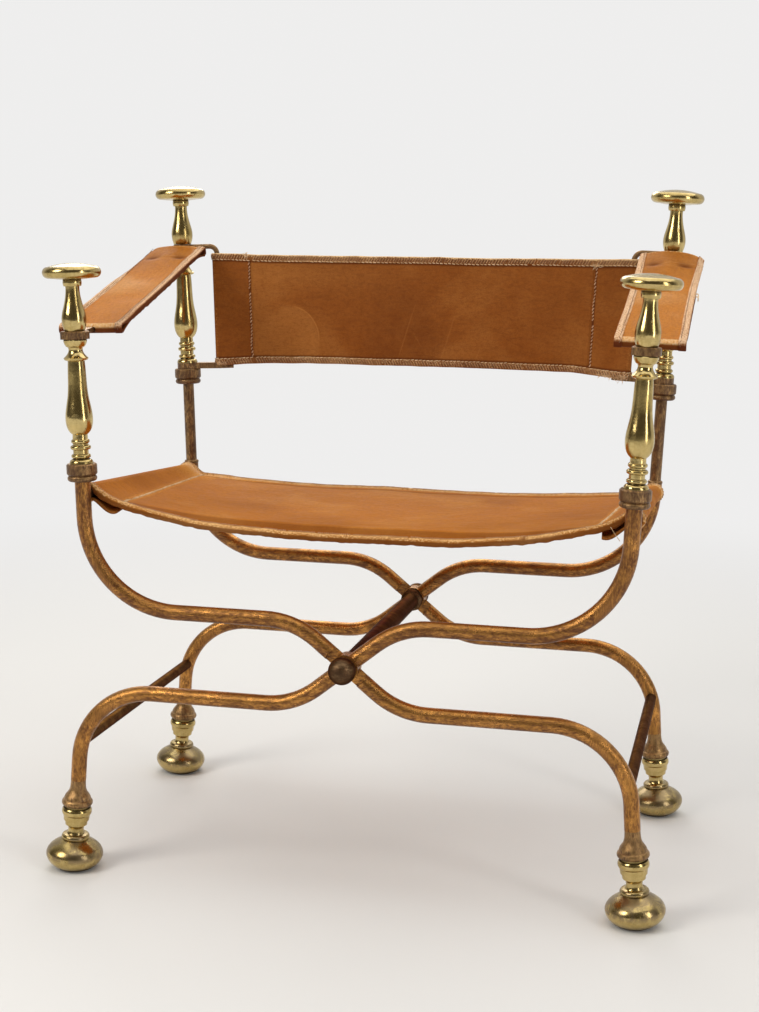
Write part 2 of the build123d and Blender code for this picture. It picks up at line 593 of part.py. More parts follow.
def seat_leather():
    """Seat slung between the two rails."""
    edge = HALF_SPAN - BAR_R - SEAT_CLEAR
    drop = (RAIL_FRONT_HEIGHT - RAIL_REAR_HEIGHT) / FRAME_SPAN
    sections = []
    for y, inset, seam_drop, sag in (
            (-edge, SEAT_FRONT_SEAM, SEAT_FRONT_SEAM_DROP, SEAT_FRONT_SAG),
            (edge, SEAT_REAR_SEAM, SEAT_REAR_SEAM_DROP, SEAT_REAR_SAG)):
        rail_z = RAIL_FRONT_HEIGHT - drop * (y + HALF_SPAN)
        rail_x = post_offset(rail_z)
        seam = (rail_x - inset, rail_z - seam_drop)
        plane = Plane(origin=(0, y, 0), x_dir=(1, 0, 0), z_dir=(0, -1, 0))
        sections.append((plane, (rail_x, rail_z), seam, seam[1] - sag))
    return sling(sections, RAIL_DIA / 2 + SOFT_GAP)


def back_leather():
    """Back slung between the uprights of the two brackets."""
    inner = BRACKET_ROD_DIA / 2 + SOFT_GAP
    sections = []
    for height in (BACK_BOTTOM, BACK_TOP):
        rod_x = post_offset(height) - BRACKET_REACH / cos(radians(POST_SPLAY))
        front = REAR - inner - LEATHER_T / 2
        seam = (rod_x - BACK_SEAM, front + LEATHER_T / 2)
        plane = Plane(origin=(0, 0, height), x_dir=(1, 0, 0), z_dir=(0, 0, 1))
        sections.append((plane, (rod_x, REAR), seam, seam[1] + BACK_BOW))
    return sling(sections, inner)


def arm_strap():
    """Leather strap between the two cross rods of one side, in the frame of the posts.
    Both ends turn round a cross rod and are stitched back under the strap."""
    inner = HANGER_ROD_DIA / 2 + SOFT_GAP
    outer = inner + LEATHER_T
    front = Vector(FRONT + FRONT_HANGER_REACH, FRONT_HANGER + HANGER_T / 2 + FRONT_HANGER_LIFT)
    rear = Vector(REAR - REAR_HANGER_REACH, REAR_HANGER + HANGER_T / 2)
    along = (rear - front).normalized()
    across = Vector(-along.Y, along.X)
    band = outer - LEATHER_T / 2            # middle of the leather above the rods
    front_band, rear_band = front + across * band, rear + across * band
    middle = (front_band + rear_band) * 0.5 - across * STRAP_SAG
    lift = across * (LEATHER_T / 2)
    over = ThreePointArc(front_band + lift, middle + lift, rear_band + lift)
    under = ThreePointArc(rear_band - lift, middle - lift, front_band - lift)
    section = make_face([over, Line(over @ 1, under @ 0), under, Line(under @ 1, over @ 0)])
    hollows = []
    for rod_at, inward in ((front, along), (rear, -along)):
        seam = rod_at + inward * STRAP_FLAP + across * (band - LEATHER_T)
        section += make_hull([*(Pos(rod_at.X, rod_at.Y) * Circle(outer)).edges(),
                              *(Pos(seam.X, seam.Y) * Circle(LEATHER_T * 0.6)).edges()])
        hollows.append(sleeve_hollow((rod_at.X, rod_at.Y), (seam.X, seam.Y), inner))
    for hollow in hollows:
        section -= hollow
    upright = Plane(origin=(-STRAP_W / 2, 0, 0), x_dir=(0, 1, 0), z_dir=(1, 0, 0))
    strap = extrude(upright * section, amount=STRAP_W, dir=(1, 0, 0))
    strap -= Pos(0, FRONT, FRONT_HANGER) * hanger_neck(FRONT_HANGER_REACH, FRONT_HANGER_LIFT,
                                                       SOFT_GAP)
    return strap - Pos(0, REAR, REAR_HANGER) * hanger_neck(-REAR_HANGER_REACH, 0, SOFT_GAP)


# ---------------------------------------------------------------- nodes

def build_nodes():
    """Every node of the chair, by name."""
    nodes = {}
    for frame, post_side, leg_side in (("a", RIGHT, LEFT), ("b", LEFT, RIGHT)):
        for row, row_name in ((FRONT, "front"), (REAR, "rear")):
            nodes[f"{row_name}_bar_{frame}"] = bar(frame, row)
            leg_name = f"{row_name}_{SIDE_NAMES[leg_side]}"
            nodes[f"{leg_name}_ferrule"] = leg_piece(ferrule(), leg_side, row)
            nodes[f"{leg_name}_foot"] = leg_piece(foot(), leg_side, row)
            post_name = f"{row_name}_{SIDE_NAMES[post_side]}"
            stack = {"collar": (collar(), FRONT_COLLAR, REAR_COLLAR),
                     "baluster": (baluster(), FRONT_BALUSTER, REAR_BALUSTER),
                     "vase": (vase(), FRONT_VASE, REAR_VASE),
                     "cap": (cap(), FRONT_VASE + VASE_H, REAR_VASE + VASE_H)}
            for name, (piece, front_height, rear_height) in stack.items():
                height = front_height if row == FRONT else rear_height
                nodes[f"{post_name}_{name}"] = post_piece(piece, post_side, row, height)
            nodes[f"{post_name}_stud"] = post_piece(post_stud(row), post_side, row)
        side_name = SIDE_NAMES[post_side]
        nodes[f"front_{side_name}_arm_hanger"] = post_piece(
            arm_hanger(FRONT_HANGER_REACH, FRONT_HANGER_LIFT), post_side, FRONT, FRONT_HANGER)
        nodes[f"rear_{side_name}_arm_hanger"] = post_piece(
            arm_hanger(-REAR_HANGER_REACH, 0), post_side, REAR, REAR_HANGER)
        nodes[f"rear_{side_name}_post_rod"] = post_piece(rear_rod(), post_side, REAR)
        nodes[f"{side_name}_back_bracket"] = post_piece(back_bracket(post_side), post_side, REAR)
        nodes[f"{side_name}_arm_strap"] = on_post(post_side) * arm_strap()
        nodes[f"{side_name}_seat_rail"] = seat_rail(post_side)
        nodes[f"{SIDE_NAMES[leg_side]}_side_stretcher"] = side_stretcher(leg_side)
    nodes["tie_rod"] = tie_rod()
    nodes["distance_tube"] = distance_tube()
    nodes["pivot_washers"] = pivot_washers()
    nodes["front_ball_nut"] = ball_nut(FRONT)
    nodes["rear_ball_nut"] = ball_nut(REAR)
    nodes["seat_leather"] = seat_leather()
    nodes["back_leather"] = back_leather()
    return nodes


SIDE_NAMES = {LEFT: "left", RIGHT: "right"}

os.makedirs("parts", exist_ok=True)
for node_name, node_shape in build_nodes().items():
    export_step(node_shape, f"parts/{node_name}.step")
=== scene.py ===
import json
import random
from math import cos, pi, radians, sin

import bmesh
import bpy
import numpy as np
from mathutils import Matrix, Vector, noise


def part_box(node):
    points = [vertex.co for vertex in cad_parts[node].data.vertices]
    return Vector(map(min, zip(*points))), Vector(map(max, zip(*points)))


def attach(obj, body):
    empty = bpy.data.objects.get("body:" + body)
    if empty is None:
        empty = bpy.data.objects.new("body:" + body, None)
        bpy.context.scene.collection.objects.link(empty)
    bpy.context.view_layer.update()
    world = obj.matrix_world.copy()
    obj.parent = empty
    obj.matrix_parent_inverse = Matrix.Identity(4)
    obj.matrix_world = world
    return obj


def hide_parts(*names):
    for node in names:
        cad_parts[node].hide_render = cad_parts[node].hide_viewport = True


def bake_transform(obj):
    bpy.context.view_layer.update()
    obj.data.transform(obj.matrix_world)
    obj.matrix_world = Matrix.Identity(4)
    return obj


# A folding armchair of bent iron bars with turned brass feet and posts, and a leather
# seat, back and arm straps. Lengths are in metres. X runs across the chair, Y from its
# front to its rear and Z up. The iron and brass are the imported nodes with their
# finishes. The leather, its hems, stitches and threads are made here.

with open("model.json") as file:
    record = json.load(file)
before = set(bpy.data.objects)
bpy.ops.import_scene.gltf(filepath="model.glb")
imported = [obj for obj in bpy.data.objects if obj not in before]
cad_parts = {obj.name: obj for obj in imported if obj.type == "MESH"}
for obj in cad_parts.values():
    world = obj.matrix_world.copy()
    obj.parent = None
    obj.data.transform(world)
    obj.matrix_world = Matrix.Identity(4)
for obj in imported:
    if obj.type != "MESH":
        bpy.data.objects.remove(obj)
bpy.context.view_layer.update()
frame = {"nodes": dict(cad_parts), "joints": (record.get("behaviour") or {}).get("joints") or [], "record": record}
random.seed(7)

MM = 0.001
LEFT, RIGHT = -1, 1
SIDE_NAMES = {LEFT: "left", RIGHT: "right"}
ACROSS = Vector((1, 0, 0))
REARWARD = Vector((0, 1, 0))
UPWARD = Vector((0, 0, 1))

# ---------------------------------------------------------------- sizes
LEATHER_T = 3.0 * MM          # thickness of all the leather
SOFT_GAP = 0.3 * MM           # leather to the rods it goes round
RAIL_R = 7.0 * MM             # seat rails
RAIL_FALL = 24.0 / 372.0      # drop of a seat rail towards the rear
UPRIGHT_R = 3.3 * MM          # upright rods of the back brackets
UPRIGHT_REACH = 48.0 * MM     # rear post's axis to an upright
CROSS_ROD_R = 3.5 * MM        # cross rods of the arm hangers
HEM_T = 0.9 * MM              # a turned hem above the leather
THREAD_R = 0.42 * MM
SEAM_WANDER = 1.4 * MM        # how far a seam strays to either side
HEM_HIDE = 350 * MM           # where a hem's own hide starts, beside the sheet's
HEM_SIDES, THREAD_SIDES = 14, 6          # corners of their sections
HEM_WANDER, HEM_WAVES = 0.4 * MM, 45     # a hem's sideways wander and its waves per metre
HEM_SWELL, HEM_SWELL_WAVES = 0.22, 110   # how uneven its height is, in the same way
MISSING_STITCHES = 0.02       # share of the stitches that have gone
SOIL_WAVES = 7.5              # handling marks per metre
EDGES = ("first", "last")     # a sheet's long edges: its first and its last row

SEAT_SEAM = (40 * MM, 24 * MM)           # rail to the sleeve's seam, at front and rear
SEAT_SEAM_DEPTH = (12 * MM, 5 * MM)      # seam below the rail
SEAT_DIP = (38 * MM, 14 * MM)            # middle of the seat below the rails
SEAT_LEAVE = (45, 25)                    # degrees past the top where leather leaves a rail
FLAP_GAP = 0.4 * MM           # a sleeve's loose flap behind the leather
BACK_SEAM = 46 * MM           # upright to the sleeve's seam
BACK_BOW = 6 * MM             # middle of the back behind its seams
STRAP_W = 76 * MM
STRAP_FLAP = 40 * MM          # turned-under part of a strap's end
STRAP_SAG = 3 * MM
NECK_SLOT = 12 * MM           # slot in a strap's end for the hanger's neck
CROSS_ROD_HALF = 32 * MM      # half the length of a cross rod


# ---------------------------------------------------------------- camera and light

CAMERA_AT = Vector((0.4367, -1.9395, 0.7513))
CAMERA_TURN, CAMERA_DROP, CAMERA_ROLL = radians(-12.875), radians(9.344), radians(0.753)
CAMERA_LENS = 58.74
LAMP_AIM = Vector((0, 0, 0.4))
LAMPS = (("key", (-1.9, -1.9, 2.1), (1.2, 1.5), 42, (1.0, 0.96, 0.89)),
         ("right_strip", (2.1, -1.3, 1.1), (0.4, 1.8), 13, (1.0, 0.98, 0.95)),
         ("top", (0.3, 0.2, 3.0), (3.8, 3.8), 54, (1.0, 0.99, 0.97)),
         ("rim", (-0.9, 2.3, 1.9), (1.6, 0.8), 18, (1.0, 0.98, 0.95)))


def add_object(name, data):
    made = bpy.data.objects.new(name, data)
    bpy.context.collection.objects.link(made)
    return made


def add_camera():
    data = bpy.data.cameras.new("camera")
    data.lens = CAMERA_LENS
    camera = add_object("camera", data)
    ahead = Vector((sin(CAMERA_TURN) * cos(CAMERA_DROP), cos(CAMERA_TURN) * cos(CAMERA_DROP),
                    -sin(CAMERA_DROP)))
    level = Vector((cos(CAMERA_TURN), -sin(CAMERA_TURN), 0))
    right = level * cos(CAMERA_ROLL) + level.cross(ahead) * sin(CAMERA_ROLL)
    turn = Matrix((right, right.cross(ahead), -ahead)).transposed()
    camera.matrix_world = Matrix.Translation(CAMERA_AT) @ turn.to_4x4()
    bpy.context.scene.camera = camera


def add_lamp(name, at, size, power, colour):
    """A large soft lamp aimed at the middle of the chair."""
    data = bpy.data.lights.new(name, "AREA")
    data.shape = "RECTANGLE"
    data.size, data.size_y = size
    data.energy = power
    data.color = colour
    turn = (LAMP_AIM - Vector(at)).to_track_quat("-Z", "Y").to_matrix()
    add_object(name, data).matrix_world = Matrix.Translation(at) @ turn.to_4x4()


# ---------------------------------------------------------------- node trees

class Tree:
    """A node tree, with short calls that add a node and give its output."""

    def __init__(self, tree):
        self.tree = tree

    def node(self, kind, inputs=None, **settings):
        made = self.tree.nodes.new(kind)
        for name, value in settings.items():
            setattr(made, name, value)
        for name, value in (inputs or {}).items():
            self.feed(made.inputs[name], value)
        return made

    def feed(self, socket, value):
        if isinstance(value, bpy.types.NodeSocket):
            self.tree.links.new(value, socket)
        else:
            socket.default_value = value

    def maths(self, operation, a, b=0.0):
        return self.node("ShaderNodeMath", {0: a, 1: b}, operation=operation).outputs[0]

    def times(self, a, b):
        return self.maths("MULTIPLY", a, b)

    def plus(self, a, b):
        return self.maths("ADD", a, b)

    def minus(self, a, b):
        return self.maths("SUBTRACT", a, b)

    def place(self, kind="Object"):
        """Texture coordinates: in the object, its normal or the way out of the scene."""
        return self.node("ShaderNodeTexCoord").outputs[kind]

    def part(self, vector, axis):
        return self.node("ShaderNodeSeparateXYZ", {0: vector}).outputs[axis]

    def noise(self, vector, scale, detail=4.0, roughness=0.55, distortion=0.0):
        made = self.node("ShaderNodeTexNoise", {"Vector": vector, "Scale": scale, "Detail": detail,
                                                "Roughness": roughness, "Distortion": distortion})
        return made.outputs["Fac"]

    def stretch(self, vector, factors):
        made = self.node("ShaderNodeVectorMath", {0: vector, 1: factors}, operation="MULTIPLY")
        return made.outputs[0]

    def between(self, value, low, high):
        """0 below low, 1 above high and smooth in between."""
        made = self.node("ShaderNodeMapRange", {"Value": value, "From Min": low, "From Max": high},
                         interpolation_type="SMOOTHSTEP")
        return made.outputs[0]

    def mix(self, factor, a, b):
        return self.node("ShaderNodeMix", {0: factor, 6: a, 7: b}, data_type="RGBA").outputs[2]

    def blend_values(self, factor, a, b):
        made = self.node("ShaderNodeMix", {0: factor, 2: a, 3: b}, data_type="FLOAT")
        return made.outputs[0]

    def patches(self, vector, low, high, *look):
        """Noise of a given look, from 0 where it is below low to 1 where it is above high."""
        return self.between(self.noise(vector, *look), low, high)

    def total(self, *shares):
        """The sum of values, each times its share."""
        result = self.times(*shares[0])
        for value, share in shares[1:]:
            result = self.plus(result, self.times(value, share))
        return result

    def tinted(self, colour, tints):
        """A colour with others laid over it in turn, each by a mask and a share of it."""
        for mask, share, other in tints:
            colour = self.mix(self.times(mask, share), colour, other)
        return colour


def new_group(name, values, masks):
    """A shader node group that takes a vector and values and puts out masks. Gives its
    tree, the masks' sockets, the vector and the values."""
    tree = bpy.data.node_groups.new(name, "ShaderNodeTree")
    tree.interface.new_socket("Vector", in_out="INPUT", socket_type="NodeSocketVector")
    for labels, way in ((values, "INPUT"), (masks, "OUTPUT")):
        for label in labels:
            tree.interface.new_socket(label, in_out=way, socket_type="NodeSocketFloat")
    graph = Tree(tree)
    given = graph.node("NodeGroupInput").outputs
    return (graph, graph.node("NodeGroupOutput").inputs, given["Vector"],
            *(given[label] for label in values))


def build_mottling():
    """Cloudy change of tone: broad patches with finer ones in them."""
    graph, out, vector, scale = new_group("mottling", ["Scale"], ["Mask"])
    broad = graph.noise(vector, scale, 3.0, 0.5, 0.6)
    fine = graph.noise(vector, graph.times(scale, 5.3), 6.0, 0.6)
    graph.feed(out["Mask"], graph.between(graph.total((broad, 0.62), (fine, 0.38)), 0.36, 0.64))


def build_skin_grain():
    """Pores and creases of leather, as a height."""
    graph, out, vector, pores, waves = new_group("skin_grain", ["Pores", "Creases"],
                                                 ["Height", "Pits"])
    cells = graph.node("ShaderNodeTexVoronoi", {"Vector": vector, "Scale": pores,
                                                "Randomness": 1.0}, feature="DISTANCE_TO_EDGE")
    pits = graph.between(cells.outputs["Distance"], 0.0, 0.22)
    lines = graph.noise(graph.stretch(vector, (0.35, 1.5, 1.0)), waves, 5.0, 0.62, 1.4)
    creases = graph.between(graph.maths("ABSOLUTE", graph.minus(lines, 0.5)), 0.0, 0.045)
    swell = graph.noise(vector, graph.times(waves, 0.4), 3.0)
    graph.feed(out["Height"], graph.total((pits, 0.25), (creases, 0.35), (swell, 0.6)))
    graph.feed(out["Pits"], creases)


def build_scratches():
    """Fine long scratches that run in several directions."""
    graph, out, vector, scale = new_group("scratches", ["Scale"], ["Mask"])
    mask = 0.0
    for turn in (0.3, 1.5, 2.6):
        turned = graph.node("ShaderNodeVectorRotate", {"Vector": vector, "Angle": turn},
                            rotation_type="Z_AXIS").outputs[0]
        drawn = graph.stretch(turned, (1.0, 0.045, 0.3))
        mask = graph.maths("MAXIMUM", mask, graph.patches(drawn, 0.705, 0.74, scale, 2.0, 0.5))
    graph.feed(out["Mask"], mask)


UPRIGHT_FROM = (0.275, 0.300)            # how far out the bars turn from level to upright
DRAWN_OUT = ((0.35, 1.0, 1.0), (1.0, 1.0, 0.35))  # streaks along the level and upright runs


def build_wear_and_highlight():
    """Where a thin coat has gone from old iron: fine streaks along the bars. Faces that point up and parts near
    the floor keep more of the bright coat, which is a painted highlight."""
    graph, out, vector, scale, cover = new_group("wear_and_highlight", ["Scale", "Cover"], ["Mask", "Height"])
    upright = graph.between(graph.maths("ABSOLUTE", graph.part(vector, "X")), *UPRIGHT_FROM)
    level_run, upright_run = (graph.stretch(vector, factors) for factors in DRAWN_OUT)
    drawn = graph.node("ShaderNodeMix", {0: upright, 4: level_run, 5: upright_run},
                       data_type="VECTOR").outputs[1]
    patches = graph.noise(drawn, scale, 8.0, 0.72, 0.3)
    flakes = graph.noise(drawn, graph.times(scale, 3.7), 5.0, 0.7)
    # Painted highlight: more of the bright coat on faces that point up and on parts near the floor.
    top_highlight = graph.part(graph.place("Normal"), "Z")
    low = graph.between(graph.part(vector, "Z"), 0.42, 0.12)
    level = graph.total((patches, 0.55), (flakes, 0.45), (top_highlight, 0.06), (low, 0.05),
                        (cover, 1.0))
    graph.feed(out["Mask"], graph.between(level, 0.88, 1.13))
    pits = graph.noise(vector, graph.times(scale, 7.0), 3.0, 0.6)
    graph.feed(out["Height"], graph.total((level, 0.5), (pits, 0.5)))


def grouped(graph, name, **inputs):
    """A group's node in a material, with its inputs set."""
    made = graph.node("ShaderNodeGroup")
    made.node_tree = bpy.data.node_groups[name]
    for label, value in inputs.items():
        graph.feed(made.inputs[label], value)
    return made.outputs


def new_material(name, **constants):
    """A material with one Principled shader. Constants are set on its own sockets."""
    material = bpy.data.materials.new(name)
    material.use_nodes = True
    graph = Tree(material.node_tree)
    shader = material.node_tree.nodes["Principled BSDF"]
    for label, value in constants.items():
        shader.inputs[label.replace("_", " ")].default_value = value
    return material, graph, shader


def dress(graph, shader, relief, **looks):
    """Feed a shader's sockets by name, and its normal from a height, depth and strength."""
    bump = graph.node("ShaderNodeBump", dict(zip(("Height", "Distance", "Strength"), relief)))
    for label, value in (*looks.items(), ("Normal", bump.outputs["Normal"])):
        graph.feed(shader.inputs[label.replace("_", " ")], value)


# ---------------------------------------------------------------- finishes

BRASS, BROWN_BRASS = (0.63, 0.48, 0.205, 1), (0.45, 0.33, 0.120, 1)
BRASS_STREAK, BRASS_SPECK = (0.34, 0.22, 0.06, 1), (0.20, 0.13, 0.05, 1)
BRASS_DIRT = (0.10, 0.065, 0.025, 1)
TARNISH = (0.26, 0.19, 0.11, 1)
TARNISH_TOP = (0.050, 0.038)             # heights on the feet between which it fades out
NOOK_REACH = 7 * MM                      # how wide a groove still gathers dirt


def brass_finish():
    """Old polished brass: yellow-green, browner in patches, streaked where it was rubbed,
    dull in its grooves and tarnished on the upper half of the feet."""
    material, graph, shader = new_material("polished_brass", Metallic=1.0)
    place = graph.place()
    tone = grouped(graph, "mottling", Vector=place, Scale=34.0)["Mask"]
    streaks = graph.noise(graph.stretch(place, (1.0, 1.0, 0.10)), 330.0, 4.0, 0.6)
    specks = graph.patches(place, 0.60, 0.72, 520.0, 3.0, 0.7)
    nooks = graph.node("ShaderNodeAmbientOcclusion", {"Distance": NOOK_REACH}, samples=8)
    hollow = graph.between(nooks.outputs["AO"], 0.80, 0.35)
    dull = graph.patches(place, 0.36, 0.56, 55.0, 6.0, 0.7, 0.5)
    dull = graph.times(dull, graph.between(graph.part(place, "Z"), *TARNISH_TOP))
    dull = graph.times(dull, graph.between(graph.part(graph.place("Normal"), "Z"), -0.45, 0.10))
    dull = graph.times(dull, 0.85)
    colour = graph.tinted(graph.mix(tone, BRASS, BROWN_BRASS),
                          ((graph.between(streaks, 0.48, 0.70), 0.30, BRASS_STREAK),
                           (specks, 0.5, BRASS_SPECK), (hollow, 1.0, BRASS_DIRT),
                           (dull, 1.0, TARNISH)))
    scratched = grouped(graph, "scratches", Vector=place, Scale=160.0)["Mask"]
    rough = graph.plus(graph.blend_values(tone, 0.10, 0.22), graph.times(streaks, 0.10))
    rough = graph.blend_values(graph.times(scratched, 0.5), rough, 0.4)
    rough = graph.blend_values(hollow, graph.blend_values(dull, rough, 0.34), 0.6)
    dents = graph.minus(graph.noise(place, 95.0, 3.0, 0.5), graph.times(scratched, 0.2))
    dress(graph, shader, (dents, 0.5 * MM, 0.55), Base_Color=colour, Roughness=rough)
    return material


RUST = (0.20, 0.075, 0.025, 1)


def iron_finish(name, dark, coat, cover, scale, roughness, metal, edge):
    """Old iron with what is left of a brighter coat on it, by a line of IRONS."""
    material, graph, shader = new_material(name, Specular_Tint=edge)
    place = graph.place()
    # The worn mask holds real wear of the coat and a painted highlight on top faces and near the floor.
    worn = grouped(graph, "wear_and_highlight", Vector=place, Scale=scale, Cover=cover)
    tone = grouped(graph, "mottling", Vector=place, Scale=30.0)["Mask"]
    bright = graph.mix(tone, coat, tuple(0.62 * c for c in coat[:3]) + (1,))
    rust = graph.patches(place, 0.52, 0.66, 95.0, 5.0, 0.65)
    under = graph.tinted(dark, ((rust, 0.3, RUST),))
    rough = graph.blend_values(worn["Mask"], roughness + 0.07, roughness)
    dress(graph, shader, (worn["Height"], 0.8 * MM, 0.7),
          Base_Color=graph.mix(worn["Mask"], under, bright),
          Metallic=graph.blend_values(worn["Mask"], metal, 0.95),
          Roughness=graph.blend_values(tone, rough, graph.plus(rough, 0.10)))
    return material


BLEACHED = (0.78, 0.60, 0.42, 1)         # leather rubbed down to its fibres, and the palest part of a painted highlight
SCRATCH_ALONG = (8 * MM, 20 * MM)        # where the curved scratch sets in past its middle
SCRATCH_ACROSS = (-8 * MM, 6 * MM)
SCRATCH_SIDES = (1.1 * MM, 0.3 * MM)     # off its line: where it starts and is deepest


def curved_scratch(graph, skin, centre_along, centre_across, radius):
    """One pale scratch, a quarter of a circle on the hide."""
    centre = (centre_along, centre_across, 0)
    away = graph.node("ShaderNodeVectorMath", {0: skin, 1: centre}, operation="DISTANCE")
    off = graph.maths("ABSOLUTE", graph.minus(away.outputs["Value"], radius))
    along = graph.between(graph.part(skin, "X"), *(centre_along + at for at in SCRATCH_ALONG))
    across = graph.between(graph.part(skin, "Y"), *(centre_across + at for at in SCRATCH_ACROSS))
    return graph.times(graph.times(along, across), graph.between(off, *SCRATCH_SIDES))


def leather_finish(name, tan, light, dark, roughness, gloss=0.05, scratch=None):
    """Vegetable-tanned leather: cloudy tan, fine pores, creases, scuffs and dark marks, pale where worn and where
    a highlight is painted, dark where dirty and where shade is painted, and paler where light is painted."""
    material, graph, shader = new_material(name, Specular_IOR_Level=gloss)
    skin = graph.node("ShaderNodeUVMap", uv_map="skin").outputs["UV"]
    rubbed, soiled, painted_light = (graph.node("ShaderNodeAttribute", attribute_name=label).outputs["Fac"]
                             for label in ("rubbed", "soiled", "painted_light"))
    close = grouped(graph, "mottling", Vector=skin, Scale=70.0)["Mask"]
    grain = grouped(graph, "skin_grain", Vector=skin, Pores=900.0, Creases=60.0)
    scuffs = grouped(graph, "scratches", Vector=skin, Scale=90.0)["Mask"]

    tints = [(graph.patches(skin, 0.44, 0.66, 5.0, 3.0, 0.5, 0.4), 0.30, dark),
             (graph.patches(skin, 0.46, 0.68, 8.0, 3.0, 0.5, 0.8), 0.34, light),
             (painted_light, 1.0, light),
             (close, 0.10, light),
             (graph.patches(skin, 0.46, 0.70, 900.0, 3.0, 0.6), 0.34, dark),
             (graph.patches(skin, 0.55, 0.75, 1500.0, 2.0, 0.5), 0.25, light),
             (graph.patches(skin, 0.42, 0.66, 210.0, 4.0, 0.65), 0.20, dark),
             (graph.patches(skin, 0.62, 0.78, 19.0, 5.0, 0.7, 1.2), 0.28, dark),
             (graph.minus(1.0, grain["Pits"]), 0.16, dark),
             (scuffs, 0.16, light)]
    if scratch:
        line = curved_scratch(graph, skin, *scratch)
        tints.append((graph.times(line, graph.between(painted_light, 0.0, 0.1)), 0.5, light))
    patchy = graph.minus(graph.noise(skin, 480.0, 3.0, 0.6), 0.5)
    ragged = graph.plus(rubbed, graph.times(graph.times(patchy, 3.2),
                                            graph.between(rubbed, 0.0, 0.35)))
    # Pale and bleached where worn and where a highlight is painted; dark where dirty and where shade is painted.
    tints += [(graph.between(ragged, 0.25, 0.95), 1.0, light),
              (graph.between(ragged, 0.95, 1.6), 1.0, BLEACHED),
              (graph.between(soiled, 0.0, 1.0), 1.0, dark)]
    rough = graph.blend_values(close, roughness, roughness + 0.12)
    height = graph.minus(grain["Height"], graph.times(scuffs, 0.2))
    dress(graph, shader, (height, 0.5 * MM, 0.7), Base_Color=graph.tinted(tan, tints),
          Roughness=graph.blend_values(rubbed, rough, 0.78))
    return material


def thread_finish(name, colour, worn):
    """Waxed linen thread."""
    material, graph, shader = new_material(name, Sheen_Weight=0.3, Sheen_Roughness=0.5)
    place = graph.place()
    tone = grouped(graph, "mottling", Vector=place, Scale=70.0)["Mask"]
    fibres = graph.noise(graph.stretch(place, (1.0, 1.0, 0.4)), 2600.0, 2.0)
    dress(graph, shader, (fibres, 0.15 * MM, 0.6), Base_Color=graph.mix(tone, colour, worn),
          Roughness=graph.blend_values(fibres, 0.6, 0.9))
    return material


# ---------------------------------------------------------------- slung leather

def bend_between(start, start_way, end, end_way, steps):
    """Points of a smooth curve that leaves start one way and arrives at end another."""
    span = (end - start).length
    points = []
    for step in range(1, steps + 1):
        f = step / steps
        points.append(start * (2 * f**3 - 3 * f**2 + 1) + start_way * (span * (f**3 - 2 * f**2 + f))
                      + end * (3 * f**2 - 2 * f**3) + end_way * (span * (f**3 - f**2)))
    return points


def round_rod(seam, slope, rod, outward, up, radius, flap_end, steps, leave, tuck):
    """One end of a slung sheet: from its seam up to the rod, round the rod and back under
    to the end of the flap. It meets the rod by the angle leave before its top and parts
    from it by tuck past its underside, in degrees."""
    first, last = radians(90 + leave), radians(-90 - tuck)

    def on_rod(angle):
        return rod + radius * (cos(angle) * outward + sin(angle) * up)

    def way(angle):
        return sin(angle) * outward - cos(angle) * up

    cover, turn, flap = steps
    points = bend_between(seam, slope, on_rod(first), way(first), cover)
    points += [on_rod(first + (last - first) * step / turn) for step in range(1, turn + 1)]
    points += bend_between(on_rod(last), way(last), flap_end, -outward, flap)
    return points


def slung_line(first, last, steps, offset, power=2):
    """Points from one sleeve's end to the other's, moved by the offset in their middle. A
    higher power keeps more of them in line. First and last hold a seam and its sleeve."""
    (first_seam, first_sleeve), (last_seam, last_sleeve) = first, last
    middle = []
    for step in range(steps + 1):
        g = step / steps
        middle.append(first_seam.lerp(last_seam, g) + offset * (1 - abs(2 * g - 1) ** power))
    return first_sleeve[::-1] + middle + last_sleeve


def surface_normals(grid, up):
    """A unit normal at each point of a grid, on the side of the first direction up."""
    along, across = np.gradient(grid, axis=1), np.gradient(grid, axis=0)
    normals = np.cross(along, across)
    normals /= np.linalg.norm(normals, axis=2, keepdims=True)
    middle = normals[normals.shape[0] // 2, normals.shape[1] // 2]
    return normals if middle @ np.array(up) > 0 else -normals


def path_lengths(points):
    """Distance along a line of points, from its first point."""
    steps = np.linalg.norm(np.diff(points, axis=0), axis=1)
    return np.concatenate(([0.0], np.cumsum(steps)))


class Sheet:
    """A sheet of leather: a grid of points with columns along it and rows across it."""

    def __init__(self, grid, up):
        self.grid = np.array(grid)
        self.up = up
        self.rows, self.columns = self.grid.shape[:2]
        self.measure()

    def measure(self):
        self.normals = surface_normals(self.grid, self.up)
        self.along = path_lengths(self.grid[self.rows // 2])
        self.across = path_lengths(self.grid[:, self.columns // 2])

    def lift(self, heights):
        """Move each point along its normal."""
        self.grid = self.grid + self.normals * heights[:, :, None]
        self.measure()

    def at(self, column, row):
        """Point, way along, way across and normal at a place between the grid's lines."""
        c0 = min(int(column), self.columns - 2)
        r0 = min(int(row), self.rows - 2)
        fc, fr = column - c0, row - r0
        corner = self.grid[r0:r0 + 2, c0:c0 + 2]
        weights = np.array([[(1 - fr) * (1 - fc), (1 - fr) * fc], [fr * (1 - fc), fr * fc]])
        point = (corner * weights[:, :, None]).sum(axis=(0, 1))
        along = (corner[:, 1] - corner[:, 0]).sum(axis=0)
        across = (corner[1] - corner[0]).sum(axis=0)
        normal = (self.normals[r0:r0 + 2, c0:c0 + 2] * weights[:, :, None]).sum(axis=(0, 1))
        return (Vector(point), Vector(along).normalized(), Vector(across).normalized(),
                Vector(normal).normalized())

    def spot(self, along, across):
        """The same at distances along and across the sheet, kept within its edges."""
        return self.at(np.interp(along, self.along, np.arange(self.columns)),
                       np.interp(across, self.across, np.arange(self.rows)))

    @property
    def length(self):
        return float(self.along[-1])

    @property
    def width(self):
        return float(self.across[-1])


